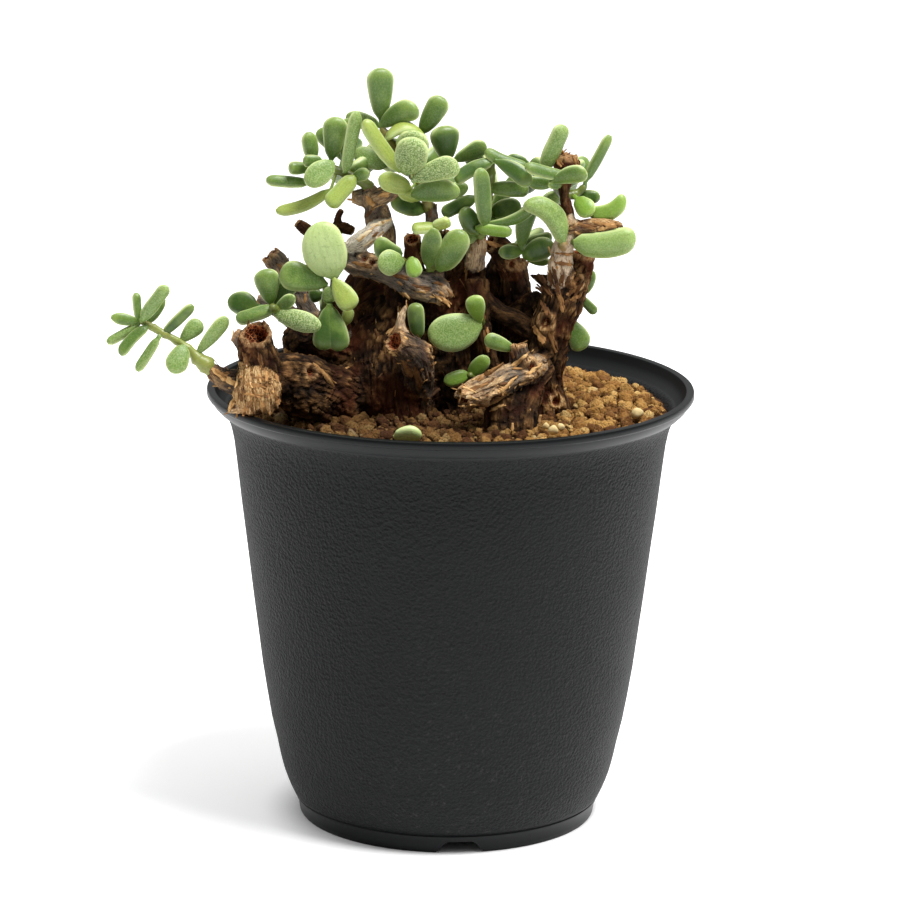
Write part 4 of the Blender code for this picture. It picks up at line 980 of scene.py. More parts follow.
def ringed(rows, sides):
    """Faces over rings of points with one point after them at each end."""
    faces = []
    top = (rows - 1) * sides
    count = rows * sides
    for n in range(sides):
        m = (n + 1) % sides
        faces.append((count, m, n))
        faces.append((count + 1, top + n, top + m))
        for here in range(0, top, sides):
            faces.append((here + n, here + m, here + sides + m, here + sides + n))
    return faces


print("a limb's curve through", len(LIMBS["caudex"].path), "stations has",
      len(smooth_line(LIMBS["caudex"].path)), "points")

# %% [markdown]
# All the tubes together are still many bodies that pass through each other. A voxel remesh keeps
# only what can be seen from outside. It also leaves small closed bubbles inside, which go.

# %% Melt the limbs


def melt_limbs():
    """One skin over all the limbs."""
    corners = []
    faces = []
    for seed, limb in enumerate(LIMBS.values()):
        add_body(corners, faces, *limb_body(limb, seed))
    wood = solid("caudex_wood", corners, faces, PLASTIC)
    melt = wood.modifiers.new("melt", "REMESH")
    melt.mode = "VOXEL"
    melt.voxel_size = VOXEL
    baked(wood)
    keep_outer_skin(wood)
    return wood


def keep_outer_skin(piece):
    """Drop the small closed bubbles that a remesh leaves inside."""
    bodies = []
    with edited(piece) as work:
        left = set(work.verts)
        while left:
            body = [left.pop()]
            for corner in body:
                for edge in corner.link_edges:
                    near = edge.other_vert(corner)
                    if near in left:
                        left.discard(near)
                        body.append(near)
            bodies.append(body)
        bodies.sort(key=len)
        for scrap in bodies[:-1]:
            bmesh.ops.delete(work, geom=scrap, context="VERTS")
    print("dropped", len(bodies) - 1, "bubbles")


wood = melt_limbs()

# %% [markdown]
# Bark runs along a limb. So each point of the skin looks up the limb it lies on, and the noise
# that shapes it is stretched in that limb's direction: long crevices, cracked plates, and finer
# lumps. The ends and the old scars are marked too, because they have their own colours.

# %% Where on the limbs


def nearest_limbs(points):
    """For every point of the skin: its limb, the limb's direction and radius there, and its place
    in the limb's own directions (two across, and the way walked along it) in mm."""
    best = np.full(len(points), 1e9)
    which = np.zeros(len(points), int)
    direction = np.zeros((len(points), 3))
    place = np.zeros((len(points), 3))
    radius = np.zeros(len(points))
    for index, limb in enumerate(LIMBS.values()):
        line = smooth_line(limb.path)
        frames = frames_along(line[:, :3])
        walked = np.concatenate([[0.0], np.cumsum(np.linalg.norm(np.diff(line[:, :3], axis=0), axis=1))])
        for spot, (tangent, side, cross), way in zip(line, frames, walked):
            offset = points - spot[:3]
            gap = np.linalg.norm(offset, axis=1) - spot[3]
            nearer = gap < best
            best[nearer] = gap[nearer]
            which[nearer] = index
            direction[nearer] = tangent
            radius[nearer] = spot[3]
            local = np.stack([offset @ side, offset @ cross, way + offset @ tangent], axis=1)
            place[nearer] = local[nearer] / MM
    return which, direction, radius, place


def end_marks(points):
    """How far each point is on a cut face (tan) and inside a rotted hollow (red)."""
    cut = np.zeros(len(points))
    heart = np.zeros(len(points))
    for limb in LIMBS.values():
        if limb.end not in ("cut", "hollow"):
            continue
        line = smooth_line(limb.path)
        end, radius = line[-1, :3], line[-1, 3]
        axis = end - line[-2, :3]
        axis /= np.linalg.norm(axis)
        offset = points - end
        along = offset @ axis
        out = np.linalg.norm(offset - along[:, None] * axis, axis=1)
        on_face = (np.abs(along) < 0.55 * radius) & (out < 1.25 * radius)
        inside = (along < 0.10 * radius) & (along > -1.6 * radius) & (out < 0.70 * radius)
        if limb.end == "hollow":
            heart = np.where(inside, 1.0, heart)
        near_rim = on_face & (along > -0.35 * radius)
        cut = np.where(near_rim, np.maximum(cut, 1.0 - np.abs(along) / (0.6 * radius)), cut)
    return cut, heart


# Old leaf and twig scars, each a ring round a dark hole: column, row and radius in mm
SCARS = ((494, 400, 2.1), (533, 368, 2.0), (545, 322, 1.8), (512, 264, 1.2), (577, 281, 1.6),
         (365, 258, 1.3), (372, 262, 1.1), (431, 352, 1.3), (556, 402, 1.4), (312, 372, 1.6))


def on_wood(column, row):
    """The point of the wood that shows at a point of the picture, or None."""
    found, spot, *_ = wood.ray_cast(EYE, (seen(column, row, 0) - EYE).normalized())
    return spot if found else None


def scars(points):
    """The distance of every point from each scar in mm, and the scar's radius."""
    for column, row, size in SCARS:
        spot = on_wood(column, row)
        if spot:
            yield np.linalg.norm(points - np.array(spot), axis=1) / MM, size


print(len(SCARS), "scars")

# %% [markdown]
# The relief is a sum. Crevices follow the zero lines of a noise that is stretched along the limb,
# cracks follow the borders of cells, and lumps of three sizes lie over both. Thin twigs get less
# of it than the trunk. The material reads the relief and the worn places from the points.

# %% Bark relief
# Over the pot's wall, past this radius in mm, the wood stays above this height in mm
LIP_REACH = 49.6
LIP_CLEAR = 95.15
# Width and length of a crevice's noise and of a hair's, in mm
CREVICE_SIZE = (1.5, 7.0)
HAIR_SIZE = (0.7, 3.4)
# Sizes of lumps, plates and small grains of the bark, in mm
LUMP_SIZE, PLATE_SIZE, SMALL_SIZE = 3.6, 3.3, 1.2
FULL_RADIUS = 4.0            # a limb this thick, in mm, carries the full relief


def read(mesh, key):
    """The places or normals of a mesh's points as rows."""
    numbers = np.zeros(len(mesh.vertices) * 3)
    mesh.vertices.foreach_get(key, numbers)
    return numbers.reshape(-1, 3)


def rough_bark(wood):
    """Push the skin in and out along its limbs, and store what the material needs."""
    mesh = wood.data
    count = len(mesh.vertices)
    points = read(mesh, "co")
    normals = read(mesh, "normal")
    which, direction, radius, place = nearest_limbs(points)
    cut, heart = end_marks(points)
    tints = np.array([limb.bark for limb in LIMBS.values()])
    fibre = np.zeros((count, 3))
    rise = np.zeros(count)
    worn = tints[which, 0]
    for n in range(count):
        spot = Vector(points[n]) / MM
        wide, deep, along = place[n]
        shift = Vector((which[n] * 3.7, 0, 0))
        thread = Vector((wide / CREVICE_SIZE[0], deep / CREVICE_SIZE[0], along / CREVICE_SIZE[1])) + shift
        fibre[n] = thread
        crevice = max(0.0, 1.0 - abs(noise.noise(thread)) / 0.20)
        hair = noise.noise(Vector((wide / HAIR_SIZE[0], deep / HAIR_SIZE[0], along / HAIR_SIZE[1])) + shift)
        lump = noise.noise(spot / LUMP_SIZE)
        close, far = noise.voronoi(spot / PLATE_SIZE + shift)[0][:2]
        crack = max(0.0, 1.0 - (far - close) / 0.22) * (1.0 - 0.85 * min(1.0, worn[n] * 1.4))
        small = noise.noise(spot / SMALL_SIZE)
        size = min(1.0, radius[n] / (FULL_RADIUS * MM)) * 0.75 + 0.25
        rise[n] = size * (0.34 * lump + 0.20 * small + 0.16 * hair - 0.44 * crevice - 0.30 * crack)
    rise *= 1.0 - 0.6 * heart
    for gap, radius_there in scars(points):
        ring = np.exp(-((gap / radius_there - 1.0) / 0.35) ** 2)
        hole = np.clip(1.5 - 2.2 * gap / radius_there, 0.0, 1.0)
        rise += 0.45 * ring - 0.9 * hole
        cut = np.maximum(cut, 0.5 * ring)
        heart = np.maximum(heart, 0.85 * hole)
    points = points + normals * (rise * MM)[:, None]
    outward = np.hypot(points[:, 0] - POT_X, points[:, 1]) / MM
    low = (outward > LIP_REACH) & (points[:, 2] < LIP_CLEAR * MM)
    points[low, 2] = LIP_CLEAR * MM
    mesh.vertices.foreach_set("co", points.ravel())
    # The ridge value also darkens the crevices in the bark's colour, a painted shade
    store(mesh, "FLOAT", {"ridge": 0.5 + rise / 1.1, "worn": worn, "ruddy": tints[which, 1],
                          "cream": tints[which, 2], "cut": cut, "heart": heart})
    store(mesh, "FLOAT_VECTOR", {"fibre": fibre, "grain": direction})
    mesh.update()
    print("the bark's relief goes from", round(rise.min(), 2), "to", round(rise.max(), 2), "mm")


rough_bark(wood)

# %% [markdown]
# The bark's colour follows its relief: painted shade darkens the crevices, the flanks are red-brown, and the
# bark is tan to grey where it is worn. Peeled wood is cream with fibres that run along it. Cut faces are tan
# with darker rings, and rotted hearts are deep red-brown.

# %% Bark


def bark_finish(nodes):
    fibre = nodes.value("fibre", "Vector")
    threads = nodes.cloud(2.6, 4.0, 0.65, fibre)
    strands = nodes.cloud(7.0, 3.0, 0.6, fibre)
    spots = nodes.cloud(420.0, 5.0, 0.65)
    broad = nodes.cloud(110.0, 3.0)
    ridge = nodes.value("ridge")
    worn = nodes.value("worn")
    # The relief sets the tone: painted shade in the crevices, paler worn bark on the ridges
    height = ridge + (threads - 0.5) * 0.8 + (spots - 0.5) * 0.5
    base = nodes.ramp(height, (0.0, 18, 11, 6), (0.28, 40, 26, 14), (0.50, 72, 50, 28), (0.72, 118, 86, 52),
                      (1.0, 168, 132, 86))
    ruddy = nodes.step(broad + nodes.value("ruddy") * 0.42, 0.55, 0.85)
    base = nodes.blend(ruddy * 0.5, base, (96, 46, 24))
    bare = nodes.step(worn + (broad - 0.5) * 0.9 + (threads - 0.5) * 0.5 + (ridge - 0.5) * 0.5, 0.45, 0.85)
    tan = nodes.ramp(nodes.step(strands, 0.22, 0.78) * 0.75 + height * 0.30, (0.0, 70, 42, 20),
                     (0.34, 138, 96, 52), (0.62, 188, 148, 92), (1.0, 232, 208, 160))
    base = nodes.blend(bare * 0.85, base, tan)
    cream = nodes.value("cream") * nodes.step(strands + ridge * 0.4, 0.38, 0.68)
    base = nodes.blend(cream, base, (232, 224, 208))
    face = nodes.blend(nodes.step(strands, 0.35, 0.65), (150, 104, 64), (206, 168, 120))
    base = nodes.blend(nodes.value("cut") * 0.75, base, face)
    shreds = nodes.cells(1300.0, "DISTANCE_TO_EDGE")
    rot = nodes.blend(nodes.step(spots, 0.42, 0.60), (26, 10, 5), (112, 44, 20))
    rot = nodes.blend(nodes.step(shreds, 0.10, 0.02) * 0.8, rot, (186, 112, 64))
    base = nodes.blend(nodes.value("heart"), base, rot)
    rough = 0.80 + spots * 0.2
    coarse = nodes.bump(threads + spots * 0.7, 0.0008, 0.9)
    return {"Base Color": base, "Roughness": rough, "Normal": nodes.bump(strands, 0.0003, 0.8, coarse)}


BARK = finish("bark", bark_finish, specular_ior_level=0.12)

wood.data.materials.clear()
wood.data.materials.append(BARK)
settle(wood, "bark", "wood")

# %% [markdown]
# Loose flakes are what make old bark look old. They are small and there are hundreds, so a tree
# scatters them over a copy of the skin: curled chips that lie along the grain, a little tilted,
# and closest together where the bark is worn and round the cut ends.

# %% Flakes


def flake_finish(nodes):
    shade = nodes.value("shade")
    fibre = nodes.cloud(900.0, 3.0)
    tone = nodes.ramp(shade + (fibre - 0.5) * 0.6, (0.0, 48, 30, 16), (0.35, 100, 66, 36),
                      (0.65, 158, 116, 68), (0.9, 204, 164, 108), (1.0, 230, 210, 174))
    return {"Base Color": tone, "Normal": nodes.bump(fibre, 0.0002, 0.6)}


FLAKES = finish("bark flakes", flake_finish, roughness=0.85, specular_ior_level=0.25)

# %% [markdown]
# One chip is a small grid, bent along its length and across it, with an uneven width. It is
# closed below, so that no edge is open. The tree lays chips on the bark above the soil.

# %% Scatter the flakes
FLAKE_THICKNESS = 0.11 * MM


def flake(name, length, width, curl, seed):
    """A thin curled chip with an uneven edge, pointing along X."""
    across, down = 3, 6
    corners = []
    for side in (0.0, FLAKE_THICKNESS):
        for row in range(down):
            share = row / (down - 1)
            taper = math.sin(math.pi * (0.15 + 0.7 * share)) ** 0.7
            taper *= 0.75 + 0.5 * random.Random(seed + row).random()
            for col in range(across):
                spot = col / (across - 1) - 0.5
                lift = curl * length * (share - 0.2) ** 2 - 0.5 * curl * width * (2 * spot) ** 2
                corners.append((length * (share - 0.3), width * spot * taper, side + max(lift, -0.2 * MM)))
    layer = across * down
    faces = []
    for row in range(down - 1):
        for col in range(across - 1):
            a = row * across + col
            faces.append((a, a + across, a + across + 1, a + 1))
            faces.append((layer + a, layer + a + 1, layer + a + across + 1, layer + a + across))
    rim = [*range(across), *range(2 * across - 1, layer, across), *range(layer - 2, layer - across - 1, -1),
           *range(layer - 2 * across, 0, -across)]
    faces += [(a, b, layer + b, layer + a) for a, b in zip(rim, rim[1:] + rim[:1])]
    mesh = bpy.data.meshes.new(name)
    mesh.from_pydata(corners, [], faces)
    return bpy.data.objects.new(name, mesh)


def flake_tree(kinds):
    """Scatter chips over the bark above the soil."""
    nodes, given = new_tree("flakes", {"Spacing": "Float", "Seed": "Int"})

    def named(key, kind="FLOAT"):
        """A value that the bark's skin carries."""
        return nodes.add("GeometryNodeInputNamedAttribute", {"data_type": kind}, {"Name": key},
                         out="Attribute")

    height = nodes.axis(nodes.add("GeometryNodeInputPosition"), "Z")
    share = nodes.step(named("worn") + named("cut") * 0.6, 0.12, 0.80, 0.03, 0.9) * (1.0 - named("heart"))
    share = share * (1.0 - named("cream") * 0.95)
    dots = nodes.add("GeometryNodeDistributePointsOnFaces", {"distribute_method": "POISSON"},
                     {"Mesh": given["Geometry"], "Selection": nodes.above(height, 90.5 * MM),
                      "Distance Min": given["Spacing"], "Density Max": 400000.0, "Density Factor": share,
                      "Seed": given["Seed"]})
    normal = Wire(nodes, dots.socket.node.outputs["Normal"])
    upright = nodes.add("FunctionNodeAlignRotationToVector", {"axis": "Z"}, {"Vector": normal})
    along = nodes.add("FunctionNodeAlignRotationToVector", {"axis": "X", "pivot_axis": "Z"},
                      {"Rotation": upright, "Vector": named("grain", "FLOAT_VECTOR")})
    tilt = nodes.add("FunctionNodeEulerToRotation",
                     sockets={"Euler": nodes.drawn((-0.25, -0.34, -0.5), (0.25, 0.10, 0.5), 5)})
    turn = nodes.add("FunctionNodeRotateRotation", {"rotation_space": "LOCAL"},
                     {"Rotation": along, "Rotate By": tilt})
    chips = nodes.copies(dots, kinds, turn, nodes.drawn(0.35, 1.0, 8))
    shade = nodes.drawn(0.0, 0.7, 9) + named("worn") * 0.20 + named("cream") * 0.35
    close_tree(nodes, nodes.mark(chips, "shade", shade), FLAKES)
    return nodes


# Length and width in mm, and curl
FLAKE_SHAPES = ((2.6, 0.9, 0.16), (1.8, 0.8, 0.25), (3.4, 0.6, 0.10), (1.2, 0.9, 0.3))


def make_flakes():
    kinds = kinds_of("flake kinds", [flake(f"flake_{n}", length * MM, width * MM, curl, n)
                                     for n, (length, width, curl) in enumerate(FLAKE_SHAPES)])
    chips = bpy.data.objects.new("bark_flakes", wood.data.copy())
    bpy.context.scene.collection.objects.link(chips)
    grow(chips, flake_tree(kinds), {"Spacing": 1.35 * MM, "Seed": 2})
    drop_kinds(kinds)
    return chips


chips = make_flakes()
settle(chips, "bark")

# %% [markdown]
# The larger strips of peeled bark each have a place: a pale blade and an orange strip on the left
# limb, the fringe of the split chunk, the torn rims of the broken stub. Each is given by its two
# ends in the picture. A ray from the eye finds the bark under each end, and a thin ragged chip is
# laid over it, with a narrower one beside it.

# %% Strips
# Column and row of both ends, width in mm, shade from dark to pale, and how far the far end lifts
STRIPS = (
    (285, 348, 301, 364, 3.2, 0.80, 0.5), (313, 363, 334, 386, 1.5, 0.80, 0.3),
    (433, 294, 442, 301, 0.6, 0.9, 0.8), (442, 297, 450, 307, 1.1, 0.80, 0.5),
    (212, 368, 236, 392, 2.0, 0.88, 0.4), (222, 376, 240, 388, 1.6, 0.95, 0.5),
    (216, 372, 228, 376, 1.3, 0.60, 0.5), (243, 352, 247, 368, 1.2, 0.50, 0.3),
    (258, 352, 262, 370, 1.0, 0.40, 0.3), (234, 398, 229, 411, 1.2, 0.85, 0.8),
    (246, 404, 243, 415, 1.2, 0.70, 0.6), (262, 402, 264, 414, 1.1, 0.78, 0.6),
    (272, 392, 279, 404, 1.2, 0.60, 0.9), (244, 384, 266, 388, 1.2, 0.62, 0.2),
    (240, 392, 262, 398, 1.1, 0.70, 0.2), (252, 377, 270, 381, 1.2, 0.50, 0.3),
    (451, 388, 462, 384, 1.0, 1.05, 0.5), (474, 392, 460, 386, 1.0, 0.98, 0.8),
    (476, 398, 458, 396, 1.1, 1.08, 0.9), (478, 404, 462, 406, 1.0, 0.92, 0.8),
    (504, 404, 490, 411, 0.9, 1.0, 0.6), (506, 394, 498, 388, 0.8, 0.96, 0.5),
    (476, 380, 502, 365, 1.5, 0.70, 0.4), (498, 392, 516, 378, 1.5, 0.86, 0.5),
    (512, 366, 528, 354, 1.3, 0.90, 0.6), (458, 406, 474, 410, 1.1, 0.80, 0.5),
    (470, 390, 488, 384, 1.3, 0.55, 0.3), (526, 374, 540, 366, 1.2, 0.95, 0.6),
    (592, 222, 617, 227, 1.3, 0.66, 0.7), (598, 230, 615, 224, 1.1, 0.84, 0.7),
    (578, 224, 596, 229, 1.3, 0.52, 0.5), (575, 232, 590, 236, 1.1, 0.78, 0.6),
    (553, 252, 572, 256, 1.1, 0.60, 0.2), (554, 262, 572, 265, 1.2, 0.50, 0.3),
    (534, 326, 544, 344, 2.0, 0.70, 0.4), (548, 330, 556, 352, 1.6, 0.55, 0.3),
    (541, 300, 549, 318, 1.5, 0.40, 0.3), (558, 292, 563, 312, 1.4, 0.58, 0.3),
    (530, 272, 545, 284, 1.2, 0.30, 0.9), (484, 240, 497, 247, 1.2, 0.66, 0.8),
    (496, 244, 509, 250, 1.3, 0.50, 0.6), (404, 232, 414, 240, 0.9, 0.85, 0.6),
    (356, 240, 372, 230, 1.5, 1.16, 0.6), (362, 246, 382, 234, 1.3, 1.14, 0.5),
    (370, 226, 390, 221, 1.1, 1.16, 0.7), (386, 334, 394, 328, 0.9, 0.95, 0.7),
    (388, 350, 396, 356, 1.0, 0.95, 0.7), (398, 306, 404, 328, 1.0, 0.80, 0.3),
    (402, 360, 412, 376, 1.6, 0.60, 0.3), (414, 366, 420, 388, 1.5, 0.45, 0.3),
    (478, 300, 484, 322, 1.2, 0.50, 0.3), (484, 330, 488, 352, 1.3, 0.62, 0.3),
    (352, 262, 372, 268, 1.2, 0.50, 0.3), (384, 272, 408, 280, 1.3, 0.44, 0.3),
    (410, 284, 430, 290, 1.2, 0.36, 0.3), (366, 196, 374, 206, 1.6, 0.74, 0.3),
    (378, 196, 392, 192, 1.3, 0.80, 0.4), (352, 300, 356, 326, 1.2, 0.28, 0.3),
    (562, 152, 570, 162, 1.3, 0.72, 0.7), (556, 158, 562, 168, 1.2, 0.60, 0.6),
    (572, 156, 578, 168, 1.2, 0.50, 0.6), (266, 250, 276, 262, 1.1, 0.55, 0.6),
    (254, 296, 262, 306, 1.2, 0.80, 0.5), (228, 330, 238, 340, 1.2, 0.72, 0.5),
    (548, 288, 540, 277, 1.4, 0.20, 1.3), (552, 286, 548, 272, 1.3, 0.34, 1.5),
    (556, 284, 553, 271, 1.2, 0.12, 1.2), (560, 286, 562, 274, 1.3, 0.40, 1.5),
    (565, 287, 569, 275, 1.2, 0.24, 1.6), (570, 289, 577, 278, 1.4, 0.46, 1.5),
    (574, 292, 583, 283, 1.3, 0.30, 1.4), (545, 294, 535, 286, 1.2, 0.14, 1.2),
    (552, 296, 544, 288, 1.1, 0.38, 1.2), (566, 295, 575, 290, 1.2, 0.50, 1.3),
    (558, 296, 556, 284, 1.3, 0.28, 1.4), (570, 300, 580, 296, 1.1, 0.56, 1.2),
)
print(len(STRIPS), "strips")

# %% [markdown]
# A strip is a flat bar with five sides and a ragged outline. Its rows follow the bark that a ray
# finds under them, unless that lies far behind, as over a gap between two limbs.

# %% Lay the strips
STRIP_ROWS = 7
# Across, as a share of the half width, and out in mm
STRIP_SECTION = ((-1.0, 0.0), (0.0, 0.10), (1.0, 0.0), (1.0, -0.14), (-1.0, -0.14))


def bark_under(column, row, fallback):
    """The place of the bark behind a picture point, or there at the fallback's depth."""
    spot = on_wood(column, row)
    if spot and spot.y < seen(column, row, -9).y:
        return spot
    return fallback and seen(column, row, -fallback.y / MM)


def strip_body(column, row, end_column, end_row, width, shade, lift, seed):
    """A thin ragged chip from one picture point to another, laid on the bark."""
    draw = random.Random(seed)
    start = bark_under(column, row, None)
    if not start:
        return [], [], []
    end = bark_under(end_column, end_row, start)
    if abs(end.y - start.y) > 4 * MM:
        end = seen(end_column, end_row, -start.y / MM)
    along = (end - start).normalized()
    out = (EYE - start).normalized()
    out = (out - along * out.dot(along)).normalized()
    across = along.cross(out)
    corners = []
    for n in range(STRIP_ROWS):
        share = n / (STRIP_ROWS - 1)
        spot = start.lerp(end, share)
        under = bark_under(column + (end_column - column) * share, row + (end_row - row) * share, spot)
        spot = under if abs(under.y - spot.y) < 2 * MM else spot
        half = width * 0.32 * math.sin(math.pi * (0.10 + 0.80 * share)) ** 0.8 * draw.uniform(0.6, 1.2)
        height = 0.04 + lift * share ** 2 * 0.8
        for side, rise in STRIP_SECTION:
            jag = draw.uniform(-0.13, 0.13) * width
            corners.append(spot + (across * (side * half + jag) + out * (height + rise)) * MM)
    sides = len(STRIP_SECTION)
    faces = [tuple(range(sides))[::-1], tuple(range((STRIP_ROWS - 1) * sides, STRIP_ROWS * sides))]
    for here in range(0, (STRIP_ROWS - 1) * sides, sides):
        faces += [(here + n, here + (n + 1) % sides, here + sides + (n + 1) % sides, here + sides + n)
                  for n in range(sides)]
    return corners, faces, [shade] * len(corners)


def make_strips():
    """All the strips, each with its narrower twin, as one piece."""
    corners, faces, shades = [], [], []
    for seed, (column, row, end_column, end_row, width, shade, lift) in enumerate(STRIPS):
        for twin in range(2):
            body, sides, marks = strip_body(
                column + 2.2 * twin, row + 1.4 * twin, end_column + 1.5 * twin, end_row - 2.5 * twin,
                width * (1.0 - 0.3 * twin), shade * (0.88 - 0.12 * twin), lift * (1.0 - 0.5 * twin),
                2 * seed + twin)
            add_body(corners, faces, body, sides)
            shades += marks
    strips = solid("bark_strips", corners, faces, FLAKES, {"shade": shades})
    turn_outward(strips)
    sharpen(strips, math.radians(40))
    return strips


strips = make_strips()
settle(strips, "bark")

# %% [markdown]
# ## The foliage
#
# Every leaf is laid out by the picture: where its root and its tip are, its width, how far it stands out, and
# its roll. One rule then gives all of them their plump shape. A letter for each leaf picks its tint, because
# neighbouring leaves differ: glossy green, powdery grey-green, a dark tint that paints the shade on leaves
# that sit in shade, and a yellow-green tint that paints the light shining through a leaf.

